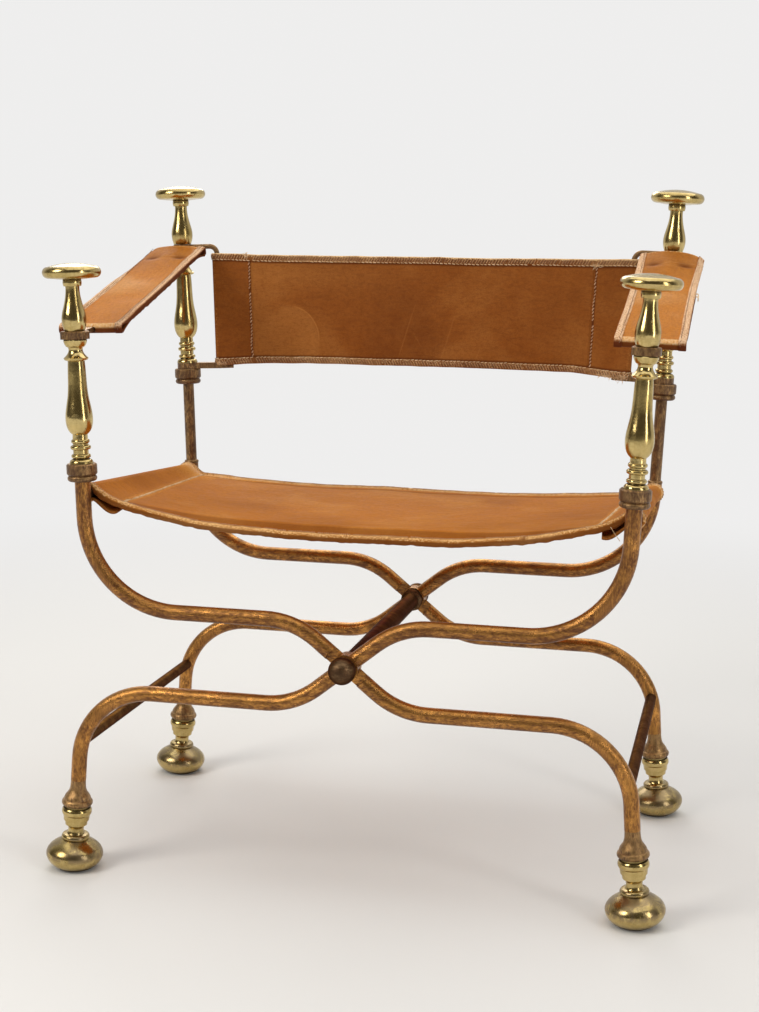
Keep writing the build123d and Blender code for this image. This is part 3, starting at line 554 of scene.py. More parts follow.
def add_mesh(name, points, faces, material, smooth=True):
    mesh = bpy.data.meshes.new(name)
    mesh.from_pydata([tuple(p) for p in points], [], faces)
    mesh.update()
    mesh.polygons.foreach_set("use_smooth", [smooth] * len(mesh.polygons))
    mesh.materials.append(material)
    return add_object(name, mesh)


def tidied(made):
    """The object with no loose vertices and with faces that point outwards."""
    work = bmesh.new()
    work.from_mesh(made.data)
    bmesh.ops.delete(work, geom=[v for v in work.verts if not v.link_faces], context="VERTS")
    bmesh.ops.recalc_face_normals(work, faces=work.faces)
    work.to_mesh(made.data)
    work.free()
    made.data.update()
    return made


def set_skin(made, places, **marks):
    """Store where each vertex lies on the flat hide, and its marks: wear with painted highlight, dirt with painted
    shade, and painted light.
    """
    mesh = made.data
    layer = mesh.uv_layers.new(name="skin")
    corners = np.empty(len(mesh.loops), dtype=np.int32)
    mesh.loops.foreach_get("vertex_index", corners)
    layer.data.foreach_set("uv", np.array(places, dtype=np.float32)[corners].ravel())
    for label, values in marks.items():
        attribute = mesh.attributes.new(label, "FLOAT", "POINT")
        attribute.data.foreach_set("value", np.array(values, dtype=np.float32))


def sheet_object(name, sheet, material, marks, thickness=LEATHER_T, slots=()):
    """The sheet as a closed mesh. The thickness is one value or one for each column. A
    slot leaves out a (columns, rows) range of faces."""
    rows, columns = sheet.rows, sheet.columns
    half = sheet.normals * (np.ones(columns) * thickness / 2)[None, :, None]
    upper, lower = ((sheet.grid + half).reshape(-1, 3), (sheet.grid - half).reshape(-1, 3))
    count = rows * columns

    def kept(row, column):
        inside = 0 <= row < rows - 1 and 0 <= column < columns - 1
        return inside and not any(c0 <= column < c1 and r0 <= row < r1
                                  for (c0, c1), (r0, r1) in slots)

    faces = []
    for row in range(rows - 1):
        for column in range(columns - 1):
            if not kept(row, column):
                continue
            a = row * columns + column
            b, c, d = a + 1, a + columns + 1, a + columns
            faces += [(a, b, c, d), (count + a, count + d, count + c, count + b)]
            for is_open, (p, q) in ((not kept(row - 1, column), (a, b)),
                                    (not kept(row, column + 1), (b, c)),
                                    (not kept(row + 1, column), (c, d)),
                                    (not kept(row, column - 1), (d, a))):
                if is_open:
                    faces.append((q, p, count + p, count + q))
    made = add_mesh(name, np.concatenate((upper, lower)), faces, material)
    v, u = np.meshgrid(sheet.across, sheet.along, indexing="ij")
    places = np.stack((u, v), axis=2).reshape(-1, 2)
    under = {label: 0.0 if label == "painted_light" else 1.0 for label in marks}
    set_skin(made, np.concatenate((places, places)),
             **{label: np.concatenate((values.ravel(), values.ravel() * under[label]))
                for label, values in marks.items()})
    return tidied(made)


def tube_faces(base, rings, sides):
    """Faces of a closed tube whose rings of points follow each other from base on."""
    faces = []
    for ring in range(rings - 1):
        for step in range(sides):
            a, b = (base + ring * sides + corner for corner in (step, (step + 1) % sides))
            faces.append((a, b, b + sides, a + sides))
    end = base + (rings - 1) * sides
    return faces + [tuple(range(base, base + sides)), tuple(reversed(range(end, end + sides)))]


def hem_object(name, sheet, edge, material, size, columns, seed, squareness, pale, face,
               soiled=None, slim=None):
    """A turned hem along the first or last row of a sheet: a rounded band that reaches inwards, outwards, above
    and below by size. It has a painted highlight at an angle from outwards towards the top, and painted shade on
    the lower half of its section. Slim is how much of its part below the leather is left at each column."""
    first, last = columns
    row = 0 if edge == "first" else sheet.rows - 1
    inward_sign = 1 if edge == "first" else -1
    inward, outward, rise, drop = size
    palest, most, spread = pale
    angles = [2 * pi * step / HEM_SIDES for step in range(HEM_SIDES)]
    section = []
    for angle in angles:
        out, up = (abs(f) ** squareness * (1 if f > 0 else -1) for f in (cos(angle), sin(angle)))
        section.append((out * (inward + outward) / 2, up * (rise if up > 0 else drop)))
    girth = path_lengths(section)
    points, places, rub, soil = [], [], [], []
    for column in range(first, last + 1):
        point, _, across, normal = sheet.at(column, row)
        way = across * inward_sign
        at = sheet.along[column]
        dirt_and_shade = 0.0 if soiled is None else float(soiled[row, column])
        below = 1.0 if slim is None else float(slim[column])
        wander = noise.noise(Vector((at * HEM_WAVES, seed, row)))
        swell = 1 + HEM_SWELL * noise.noise(Vector((at * HEM_SWELL_WAVES, seed + 5, row)))
        middle = point + way * ((inward - outward) / 2 + HEM_WANDER * wander)
        for angle, (out, up), distance in zip(angles, section, girth):
            points.append(middle - way * out + normal * (up * swell * (below if up < 0 else 1)))
            places.append((at, HEM_HIDE + distance))
            # Painted highlight, palest at the given angle. Painted shade on the lower half of the section, laid
            # over the sheet's own marks.
            lit = max(0.0, cos(angle - radians(palest)))
            rub.append((most * lit ** spread + 0.3 * wander) * (1 - dirt_and_shade))
            soil.append(max(dirt_and_shade, face if sin(angle) < 0.1 else 0.0))
    made = add_mesh(name, points, tube_faces(0, last - first + 1, HEM_SIDES), material)
    set_skin(made, places, rubbed=rub, soiled=soil)
    return tidied(made)


def strand(points, faces, path, radius):
    """Add a thread along a short path, thin at both ends."""
    base, last = len(points), len(path) - 1
    for station, centre in enumerate(path):
        way = path[min(station + 1, last)] - path[max(station - 1, 0)]
        side = way.orthogonal().normalized()
        over = way.normalized().cross(side)
        reach = radius * (0.5 if station in (0, last) else 1.0)
        for step in range(THREAD_SIDES):
            angle = 2 * pi * step / THREAD_SIDES
            points.append(centre + side * (reach * cos(angle)) + over * (reach * sin(angle)))
    faces += tube_faces(base, len(path), THREAD_SIDES)


def stitch_rows(name, sheet, rows, material, radius=THREAD_R):
    """Stitches as one mesh. Each row of them has a start, an end, a pitch and a function
    that gives the (along, across, height) of a stitch's points at a distance."""
    points, faces = [], []
    for start, end, pitch, spots in rows:
        for index in range(int((end - start) / pitch)):
            if random.random() < MISSING_STITCHES:
                continue
            shift = [random.uniform(-0.25, 0.25) * MM for _ in range(2)]
            path = []
            for along, across, height in spots(start + (index + 0.5) * pitch):
                across += shift[1]
                point, _, way, normal = sheet.spot(along + shift[0], across)
                past_edge = across - min(max(across, 0.0), sheet.width)
                path.append(point + way * past_edge + normal * height)
            strand(points, faces, path, radius * random.uniform(0.85, 1.2))
    return tidied(add_mesh(name, points, faces, material))


def off_edge(sheet, edge, inset):
    """Distance across a sheet of a line at an inset from one of its long edges."""
    return inset if edge == "first" else sheet.width - inset


def whips(sheet, edge, size, slant, over):
    """Stitches across a hem: from a hole at its inner side over its top. Over is the
    share of the hem that they reach across."""
    inward, outward, rise, _ = size
    end = inward - (inward + outward) * over

    def spots(distance):
        return [(distance + slant * f, off_edge(sheet, edge, inward + (end - inward) * g),
                 height * rise)
                for f, g, height in ((-0.5, 0.0, 0.7), (-0.3, 0.15, 1.02), (0.1, 0.5, 1.08),
                                     (0.4, 0.85, 1.02), (0.5, 1.0, 0.8))]
    return spots


def dash_profile(top):
    """A straight stitch seen from its side: shares of its length, and heights."""
    return ((-0.5, -0.45 * MM), (-0.3, 0.15 * MM), (0, top), (0.3, 0.15 * MM),
            (0.5, -0.45 * MM))


def dashes_along(sheet, edge, inset, length, slant=0.0):
    """Stitches on a hem, in line with its edge and at a distance from it."""
    def spots(distance):
        return [(distance + length * f, off_edge(sheet, edge, inset + slant * f),
                 LEATHER_T / 2 + HEM_T + height) for f, height in dash_profile(0.3 * MM)]
    return spots


def dashes_across(along, length, slant):
    """Stitches in line with the rows, such as a seam from edge to edge."""
    def spots(distance):
        wander = SEAM_WANDER * noise.noise(Vector((distance * 55, along * 10, 0)))
        return [(along + wander + slant * f, distance + length * f, LEATHER_T / 2 + height)
                for f, height in dash_profile(0.35 * MM)]
    return spots


def frayed(name, sheet, spots, material, radius=0.22 * MM):
    """Tufts of short fibres. Each spot has a place along and across the sheet, how far
    the tuft spreads along it, how many fibres it has and how long they are."""
    points, faces = [], []
    for along, across, spread, count, reach in spots:
        for _ in range(count):
            start, way, side, normal = sheet.spot(along + random.uniform(-spread, spread),
                                                  across + random.uniform(-1.5, 1.5) * MM)
            start = start + normal * LEATHER_T / 2
            drift = (way * random.uniform(-1, 1) + side * random.uniform(-1, 1)
                     + normal * random.uniform(0.2, 0.9)).normalized()
            curl = way * random.uniform(-1, 1) + side * random.uniform(-1, 1)
            size = reach * random.uniform(0.4, 1)
            path = [start + drift * (size * f) + curl * (size * 0.6 * f * f)
                    for f in (0, 0.3, 0.6, 1)]
            strand(points, faces, path, radius * random.uniform(0.7, 1.3))
    return tidied(add_mesh(name, points, faces, material))


def loose_thread(name, points, material, radius=0.35 * MM):
    """A thread end that has come out of a seam."""
    curve = bpy.data.curves.new(name, "CURVE")
    curve.dimensions = "3D"
    curve.bevel_depth = radius
    curve.bevel_resolution = 2
    spline = curve.splines.new("NURBS")
    spline.points.add(len(points) - 1)
    for target, point in zip(spline.points, points):
        target.co = (*point, 1)
    spline.order_u = 3
    spline.use_endpoint_u = True
    curve.materials.append(material)
    made = add_object(name, curve)
    mesh = bpy.data.meshes.new_from_object(made)
    bpy.data.objects.remove(made)
    return add_object(name, mesh)


def ripple(sheet, depth, scale, seed, calm=None):
    """Uneven height over a sheet, from smooth noise with so many waves per metre. Calm is
    how much of it each column keeps."""
    heights = np.zeros((sheet.rows, sheet.columns))
    for row in range(sheet.rows):
        for column in range(sheet.columns):
            keep = 1.0 if calm is None else calm[column]
            if keep > 0:
                spot = Vector((sheet.along[column] * scale, sheet.across[row] * scale, seed))
                heights[row, column] = depth * keep * noise.noise(spot)
    return heights


def edge_rub(sheet, reach, seams=()):
    """1 at the long edges and along given columns, falling to 0 over a distance."""
    across = np.minimum(sheet.across, sheet.width - sheet.across)[:, None]
    near = np.clip(1 - across / reach, 0, 1) * np.ones((1, sheet.columns))
    for along in seams:
        near = np.maximum(near, np.clip(1 - np.abs(sheet.along - along)[None, :] / reach, 0, 1))
    return near ** 1.5


def soil_marks(sheet, seed):
    """Dark handling marks in broad patches."""
    marks = ripple(sheet, 1.0, SOIL_WAVES, seed)
    return 0.4 * np.clip(marks * 1.6 - 0.35, 0, 1)


def slung_part(sheet, ends, easing=12):
    """For each column 1 between the sleeves, 0 on them, and eased beside their seams."""
    calm = np.zeros(sheet.columns)
    calm[ends:-ends] = 1
    calm[ends:ends + easing] = np.linspace(0, 1, easing)
    calm[-ends - easing:-ends] = np.linspace(1, 0, easing)
    return calm


# ---------------------------------------------------------------- places on the frame

def joint(name):
    return next(j for j in frame["joints"] if j["name"] == name)


def post_axis(side):
    """A point on a rear post's axis and the way up along it."""
    swivel = joint(f"{SIDE_NAMES[side]}_bracket_swivel")
    up = Vector(swivel["axis"]).normalized()
    return Vector(swivel["pos_m"]), up if up.z > 0 else -up


def post_point(side, across, y, z):
    """The point beside a post's axis at a height z of the axis, across it and at a y."""
    at, up = post_axis(side)
    point = at + up * ((z - at.z) / up.z)
    return Vector((point.x, y, point.z)) + Vector((up.z, 0, -up.x)) * across


def rail_point(side, y):
    """A point on a seat rail's axis."""
    low, high = (Vector(corner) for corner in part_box(f"{SIDE_NAMES[side]}_seat_rail"))
    middle = (low + high) / 2
    rise = -RAIL_FALL * y
    lean = post_axis(side)[1]
    return middle + Vector((rise * lean.x / lean.z, y, rise))


def ease(f):
    return f * f * (3 - 2 * f)


def part_way(pair, f):
    return pair[0] + (pair[1] - pair[0]) * f


# ---------------------------------------------------------------- seat

SEAT_STEPS = (16, 16, 16)     # columns of the cover, the turn and the flap of a sleeve
SEAT_MIDDLE = 176
SEAT_ROWS = 116
# Each hem's reach inwards and outwards from the leather's edge, above its middle and below. Then the angle of its
# painted highlight, how pale that highlight is and how narrow, and how dark the painted shade on the lower half of
# its section is.
SEAT_HEMS = {"first": ((7.0 * MM, 1.6 * MM, 3.4 * MM, 5.6 * MM), (78, 0.66, 0.9), 0.6),
             "last": ((6.0 * MM, 1.2 * MM, 4.0 * MM, 2.6 * MM), (125, 0.9, 0.6), 0.0)}
SEAT_WHIP_PITCH, SEAT_WHIP_SLANT = 2.5 * MM, 1.8 * MM
SEAT_DASH, SEAT_DASH_SLANT, SEAT_DASH_R = 2.4 * MM, 3.4 * MM, 0.8 * MM
SEAM_PITCH = 4.4 * MM
SEAT_STITCH_END = 4 * MM      # the last stitch from the end of its row
SEAT_RIPPLES = ((1.6 * MM, 13, 2.0), (0.5 * MM, 45, 8.0))   # height, waves per metre, seed
SEAT_RUB = 12 * MM            # how far in from an edge or a seam it is rubbed
SEAT_ROLL, SEAT_ROLL_REACH = 11 * MM, 24 * MM     # front edge below the leather behind it
SEAT_SHADED_ROWS = 7            # rows of the roll that carry painted shade
SEAT_SCAR = (580 * MM, 3 * MM)           # a dark mark on the front hem: where, half its length
SEAT_THREAD = ((0.288, -0.170, 0.443), (0.290, -0.176, 0.4425), (0.294, -0.1795, 0.437),
               (0.300, -0.179, 0.429))            # a thread that has come out of the hem
SEAT_TUFTS = 14               # frayed places along the front edge
SEAT_TUFT = (6 * MM, 12, 2.5 * MM)       # how far one spreads, its fibres and their length
SEAT_FLAP_OUT = SEAT_FLAP_HANG = 6 * MM           # a flap's front corner out and down
SEAT_FLAP_WAVE = 2 * MM       # how uneven the flaps hang
SEAT_FLAP_SAG = 4 * MM        # the sleeves' loose flaps at the front edge
SEAT_TURN_ROWS = 6            # rows that the rear hem's turned leather covers
SEAT_TURN_T, SEAT_TURN_LIP = 1.0 * MM, 1.5 * MM   # its height, and that of its inner edge
SEAT_CORNER_RUB = (1.4, 0.8)             # how rubbed its left and right rear corners are
SEAT_REAR_RUB = (9, 30, 1.1)             # beside the left one: rows, columns, how rubbed


def seat_sheet():
    """The seat, slung between the rails: deepest at its front edge, taut at the rear."""
    low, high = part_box("seat_leather")
    front, rear = low[1], high[1]
    radius = RAIL_R + SOFT_GAP + LEATHER_T / 2
    flap = SEAT_STEPS[2]
    grid = []
    for row in range(SEAT_ROWS):
        f = row / (SEAT_ROWS - 1)
        y = front + (rear - front) * f
        taut = ease(f)
        seam_depth, dip = part_way(SEAT_SEAM_DEPTH, taut), part_way(SEAT_DIP, taut)
        inset = part_way(SEAT_SEAM, f)
        roll = SEAT_ROLL * ease(min(1.0, (y - front) / SEAT_ROLL_REACH)) * (1 - f) ** 2
        slack = max(0.0, 1 - 8 * f)
        halves = {}
        for side in (LEFT, RIGHT):
            rail = rail_point(side, y)
            outward = ACROSS * side
            seam = rail - outward * inset - UPWARD * seam_depth
            slope = (outward + UPWARD * (3 * (dip - seam_depth) / abs(seam.x))).normalized()
            hang = (SEAT_FLAP_HANG * max(0.0, 1 - 14 * f)
                    + SEAT_FLAP_WAVE * noise.noise(Vector((f * 9, side, 3))))
            flap_end = (seam + outward * SEAT_FLAP_OUT * slack
                        - UPWARD * (LEATHER_T + FLAP_GAP + hang))
            end = round_rod(seam, slope, rail, outward, UPWARD, radius, flap_end, SEAT_STEPS,
                            leave=part_way(SEAT_LEAVE, taut), tuck=20)
            for step in range(flap):
                end[-flap + step] -= UPWARD * (SEAT_FLAP_SAG * (sin(pi * step / flap) * slack))
            halves[side] = seam, end
        line = slung_line(halves[LEFT], halves[RIGHT], SEAT_MIDDLE,
                          -UPWARD * (dip - seam_depth - roll), 3)
        grid.append([tuple(p) for p in line])
    sheet = Sheet(grid, UPWARD)
    calm = slung_part(sheet, sum(SEAT_STEPS))
    turned = np.zeros((sheet.rows, 1))
    turned[-SEAT_TURN_ROWS:] = SEAT_TURN_T
    turned[-SEAT_TURN_ROWS - 1] = SEAT_TURN_LIP
    sheet.lift(sum(ripple(sheet, *wave, calm) for wave in SEAT_RIPPLES) + turned * calm)
    return sheet


def seat_marks(sheet, seams):
    """How worn and how dark the seat is: wear along the edges, seams, turns and rear corners, handling marks, and
    painted shade on the front roll, beside the rear turned hem and on the flaps under the rails.
    """
    flap, ends = SEAT_STEPS[2], sum(SEAT_STEPS)
    rubbed = np.zeros((SEAT_ROWS, sheet.columns))
    rubbed[:, flap:ends] = rubbed[:, -ends:-flap] = 0.12
    corner = np.linspace(0, 1, SEAT_ROWS)[:, None] ** 9
    rubbed[:, flap:ends + 8] += SEAT_CORNER_RUB[0] * corner
    rubbed[:, -ends - 4:-flap] += SEAT_CORNER_RUB[1] * corner
    rows, count, most = SEAT_REAR_RUB
    rubbed[-rows:, ends + 8:ends + 8 + count] += np.linspace(most, 0, count)
    soiled = soil_marks(sheet, seed=4.0)
    # Painted shade: a dark line beside the step of the rear turned hem.
    soiled[-SEAT_TURN_ROWS - 2, ends:-ends] = 0.7
    # Painted shade on the front roll, on its side away from the light.
    soiled[:SEAT_SHADED_ROWS, ends:-ends] = 0.55
    # Painted shade on the loose flaps and the lower turns under the rails.
    soiled[:, :flap + 4] = soiled[:, -flap - 4:] = 0.7
    return {"rubbed": np.maximum(edge_rub(sheet, SEAT_RUB, seams) * 0.8, rubbed),
            "soiled": soiled}


def build_seat(hides, threads):
    sheet = seat_sheet()
    flap, ends = SEAT_STEPS[2], sum(SEAT_STEPS)
    seams = [sheet.along[ends], sheet.along[-ends - 1]]
    seat = sheet_object("seat", sheet, hides["seat_hide"], seat_marks(sheet, seams))
    scar = np.zeros((SEAT_ROWS, sheet.columns))
    scar[0] = 0.7 * np.exp(-((sheet.along - SEAT_SCAR[0]) / SEAT_SCAR[1]) ** 2)
    hem_columns = (flap, sheet.columns - 1 - flap)
    pieces = [hem_object(f"seat_{edge}_hem", sheet, edge, hides["seat_hem_hide"], size,
                         hem_columns, seed=3.0, squareness=0.85, pale=pale, face=face, soiled=scar)
              for edge, (size, pale, face) in SEAT_HEMS.items()]
    start = sheet.along[hem_columns[0]] + SEAT_STITCH_END
    end = sheet.along[hem_columns[1]] - SEAT_STITCH_END
    rows = [(start, end, SEAT_WHIP_PITCH, whips(sheet, edge, size, SEAT_WHIP_SLANT, over=0.55))
            for edge, (size, _, _) in SEAT_HEMS.items()]
    pieces.append(stitch_rows("seat_hem_stitches", sheet, rows, threads["hem_thread"]))
    linen = threads["linen_thread"]
    rows = [(SEAT_STITCH_END, sheet.width - SEAT_STITCH_END, SEAM_PITCH,
             dashes_across(seam, SEAT_DASH, slant))
            for seam, slant in zip(seams, (SEAT_DASH_SLANT, -SEAT_DASH_SLANT))]
    pieces.append(stitch_rows("seat_seam_stitches", sheet, rows, linen, SEAT_DASH_R))
    pieces.append(loose_thread("seat_loose_thread", SEAT_THREAD, linen))
    tufts = [(random.uniform(start, end), 0, *SEAT_TUFT) for _ in range(SEAT_TUFTS)]
    tufts += [(seams[0] + 8 * MM, 0, 8 * MM, 30, 4 * MM),
              (seams[1] - 6 * MM, 0, 6 * MM, 24, 4 * MM),
              (seams[0] - 18 * MM, sheet.width, 6 * MM, 30, 3 * MM)]
    pieces.append(frayed("seat_frays", sheet, tufts, linen))
    for piece in [seat] + pieces:
        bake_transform(piece)
    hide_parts("seat_leather")


# ---------------------------------------------------------------- back

BACK_STEPS = (18, 14, 18)
BACK_MIDDLE = 176
BACK_ROWS = 50
BACK_HEM = (8.2 * MM, 0.9 * MM, 2.5 * MM, 2.4 * MM)
# Painted highlight on each back hem: its angle, how pale it is and how narrow.
BACK_PALE = {"first": (110, 0.28, 0.8), "last": (15, 1.0, 1.6)}
BACK_WHIP = (6.4 * MM, 1.1 * MM, 2.6 * MM, 2.4 * MM)
BACK_WHIP_PITCH = 3.6 * MM
# The whipped stitches and the dark gaps between them: how much later they start, how far
# they reach over the hem, their thread and its radius.
BACK_WHIPS = {"stitches": (0.0, 0.9, "hem_thread", 0.5 * MM),
              "gaps": (BACK_WHIP_PITCH / 2, 0.8, "dark_thread", 0.36 * MM)}
BACK_DASH, BACK_DASH_SLANT, BACK_DASH_R = 3.3 * MM, 1.9 * MM, 0.75 * MM   # at the seams
HEM_DASH_PITCH, HEM_DASH, HEM_DASH_SLANT, HEM_DASH_R = 5.2 * MM, 4.0 * MM, 0.8 * MM, 0.6 * MM
HEM_DASH_IN = 1.0 * MM        # these from the inner side of the hem
BACK_STITCH_ENDS = (2 * MM, 1 * MM)      # first and last stitch from the ends of a hem
BACK_FRAY_R = 0.3 * MM
BACK_RIPPLES = ((1.8 * MM, 11, 5.0), (0.5 * MM, 40, 9.0))
BACK_RUB = 10 * MM
BACK_SEAM_IN = 1.5 * MM       # seam behind the front of the turn
BACK_FLAP_PAST = 5 * MM       # a flap's end past its seam
BACK_DROOP = (4.0 * MM, 6.5 * MM)        # lower corners below the edge between them
BACK_CORNERS = (0.13, 0.86)   # shares of the back's length where the corners start
BACK_RISE = 1.8 * MM          # lower edge, which is drawn up between the seams
BACK_TILT, BACK_TILT_FROM = 1.2 * MM, 0.45        # upper edge higher towards the right
BACK_WAVE = 1.2 * MM          # how uneven the long edges are
SLEEVE_STIFF = 10 * MM        # part of a sleeve that stays with its upright
SEAM_STIFF = 4 * MM           # part beside a seam that stays with the frame
BACK_SCRATCH = (162 * MM, 32 * MM, 44 * MM)       # its middle on the hide and its radius
# Painted light: a broad patch and a band of light painted on the back.
PALE_BAND = (118 * MM, 22 * MM)          # a paler band near the top: its height and half width
PALE_BAND_END = (330 * MM, 170 * MM)     # where it has gone, and over which length
PAINTED_LIGHT_PATCH, PAINTED_LIGHT_BAND = 0.46, 0.42     # how pale the patch and the band are


def back_sheet():
    """The back, slung between the uprights of the brackets and bowed to the rear."""
    low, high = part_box("back_leather")
    bottom, top = low[2] + HEM_T, high[2] - HEM_T
    radius = UPRIGHT_R + SOFT_GAP + LEATHER_T / 2
    near, far = BACK_CORNERS
    grid = []
    for row in range(BACK_ROWS):
        f = row / (BACK_ROWS - 1)
        z = bottom + (top - bottom) * f
        halves = {}
        for side in (LEFT, RIGHT):
            upright = post_point(side, -side * UPRIGHT_REACH, post_axis(side)[0].y, z)
            upright.z = z
            outward = ACROSS * side
            seam = upright - outward * BACK_SEAM - REARWARD * (radius - BACK_SEAM_IN)
            flap_end = seam - outward * BACK_FLAP_PAST + REARWARD * (LEATHER_T + FLAP_GAP)
            halves[side] = seam, round_rod(seam, outward, upright, outward, -REARWARD, radius,
                                           flap_end, BACK_STEPS, leave=4, tuck=12)
        line = slung_line(halves[LEFT], halves[RIGHT], BACK_MIDDLE, REARWARD * BACK_BOW)
        start, span = min(p.x for p in line), max(p.x for p in line) - min(p.x for p in line)
        low_part = 1 - f
        for point in line:
            g = (point.x - start) / span
            point.z -= BACK_DROOP[1] * low_part * ease(max(0.0, g - far) / (1 - far))
            point.z -= BACK_DROOP[0] * low_part ** 3 * ease(max(0.0, near - g) / near)
            point.z += BACK_RISE * sin(pi * min(g / far, 1.0)) * low_part
            point.z += BACK_TILT * f * ease(max(0.0, g - BACK_TILT_FROM) / (1 - BACK_TILT_FROM))
            point.z += BACK_WAVE * noise.noise(Vector((g * 8, 1.5 if f > 0.5 else 6.5, 0)))
        grid.append([tuple(p) for p in line])
    sheet = Sheet(grid, -REARWARD)
    calm = slung_part(sheet, sum(BACK_STEPS))
    sheet.lift(sum(ripple(sheet, *wave, calm) for wave in BACK_RIPPLES))
    return sheet


def part_of(sheet, first, last):
    """The columns of a sheet from first to last, as a sheet that keeps its distances."""
    part = Sheet(sheet.grid[:, first:last + 1], sheet.up)
    part.normals = sheet.normals[:, first:last + 1]
    part.along = sheet.along[first:last + 1]
    part.across = sheet.across
    return part


def sleeve_bend(sheet, side, column):
    """Where a sleeve of the back starts to follow the frame and where it fully does: from
    beside its upright to before the seam, on a line square to the post."""
    up = post_axis(side)[1]
    inwards = Vector((up.z, 0, -up.x)) * -side
    rod = post_point(side, -side * UPRIGHT_REACH, post_axis(side)[0].y, 0.65)
    reach = min((Vector(point) - rod).dot(inwards) for point in sheet.grid[:, column])
    return rod + inwards * SLEEVE_STIFF, rod + inwards * (reach - SEAM_STIFF)


def back_painted_light(sheet, seam):
    """0 to 1: painted light, a pool of light on the leather beside the left seam up to the curved scratch, and a
    band of light along the top."""
    centre_along, centre_across, reach = BACK_SCRATCH
    past = np.maximum(sheet.along - centre_along, 0)[None, :]
    above = np.maximum(sheet.across - centre_across, 0)[:, None]
    beside = np.clip((centre_along - sheet.along) / (centre_along - seam), 0, 1)[None, :]
    low_patch = np.clip((reach - np.hypot(past, above)) / ((5 + 70 * beside) * MM) + 0.4, 0, 1)
    patch = np.maximum(low_patch, beside)
    top_band = (np.exp(-((sheet.across - PALE_BAND[0]) / PALE_BAND[1]) ** 2)[:, None]
                * np.clip((PALE_BAND_END[0] - sheet.along) / PALE_BAND_END[1], 0, 1)[None, :])
    return np.maximum(PAINTED_LIGHT_PATCH * patch, PAINTED_LIGHT_BAND * top_band) * (sheet.along > seam)[None, :]


def back_marks(whole, seams):
    """How worn, how dark and how lit the back is: wear at the edges, wear and a painted highlight on the turns
    round the uprights, handling marks, dark seams, dark lines near the hems, and painted light on a broad patch
    and a band.
    """
    flap, bend = BACK_STEPS[2], BACK_STEPS[2] + BACK_STEPS[1]
    rub = edge_rub(whole, BACK_RUB) * 0.5
    # Paler on the turns round the uprights: wear, and a painted highlight where the leather rounds the rod.
    rub[:, flap:bend] += 0.3
    rub[:, -bend:-flap] += 0.3
    soil = soil_marks(whole, seed=11.0) * 0.6
    soil[:, list(seams)] = 1
    soil[[3, -4]] = 0.8
    return {"rubbed": rub, "soiled": soil, "painted_light": back_painted_light(whole, whole.along[seams[0]])}


def back_lengths(whole, meets):
    """The back's three lengths: a name, the first and last column, the bodies that its
    start and end follow, and where it goes over from the one to the other."""
    left_from, left_to = sleeve_bend(whole, LEFT, meets[0])
    right_from, right_to = sleeve_bend(whole, RIGHT, meets[1])
    inner_left = ACROSS * float(whole.grid[:, meets[0], 0].max() + SEAM_STIFF)
    inner_right = ACROSS * float(whole.grid[:, meets[1], 0].min() - SEAM_STIFF)
    return (("back_left_sleeve", 0, meets[0], "left_bracket", "frame_b", left_from, left_to),
            ("back", meets[0], meets[1], "frame_b", "frame_a", inner_left, inner_right),
            ("back_right_sleeve", meets[1], whole.columns - 1, "frame_a", "right_bracket",
             right_to, right_from))


def back_tufts(whole, left_seam, right_seam):
    """Where each length of the back is frayed."""
    right_end = whole.along[-BACK_STEPS[2] - BACK_STEPS[1]]
    top = whole.width
    return {"back_left_sleeve": ((left_seam - 42 * MM, 1 * MM, 5 * MM, 60, 4 * MM),
                                 (left_seam - 5 * MM, top, 2 * MM, 24, 5 * MM)),
            "back": ((right_seam, top - 8 * MM, 4 * MM, 40, 4 * MM),
                     (left_seam + 2 * MM, top - 1 * MM, 4 * MM, 16, 3 * MM)),
            "back_right_sleeve": ((right_end - 22 * MM, 0.5 * MM, 14 * MM, 90, 5 * MM),
                                  (right_end - 4 * MM, 0.5 * MM, 5 * MM, 60, 7 * MM))}


def back_stitches(name, whole, low, high, seams, threads):
    """The stitches of one length of the back, between two distances along the whole."""
    rows = {}
    for label, (later, over, thread, radius) in BACK_WHIPS.items():
        rows[label] = thread, radius, [
            (low + later, high - later, BACK_WHIP_PITCH,
             whips(whole, edge, BACK_WHIP, BACK_WHIP_PITCH, over)) for edge in EDGES]
    rows["dashes"] = "linen_thread", HEM_DASH_R, [
        (low, high, HEM_DASH_PITCH,
         dashes_along(whole, edge, BACK_HEM[0] - HEM_DASH_IN, HEM_DASH, HEM_DASH_SLANT))
        for edge in EDGES]
    made = [stitch_rows(f"{name}_hem_{label}", whole, lines, threads[thread], radius)
            for label, (thread, radius, lines) in rows.items()]
    if name == "back":
        lines = [(BACK_HEM[0], whole.width - BACK_HEM[0], SEAM_PITCH,
                  dashes_across(seam, BACK_DASH, BACK_DASH_SLANT)) for seam in seams]
        made.append(stitch_rows("back_seam_stitches", whole, lines, threads["seam_thread"],
                                BACK_DASH_R))
    return made


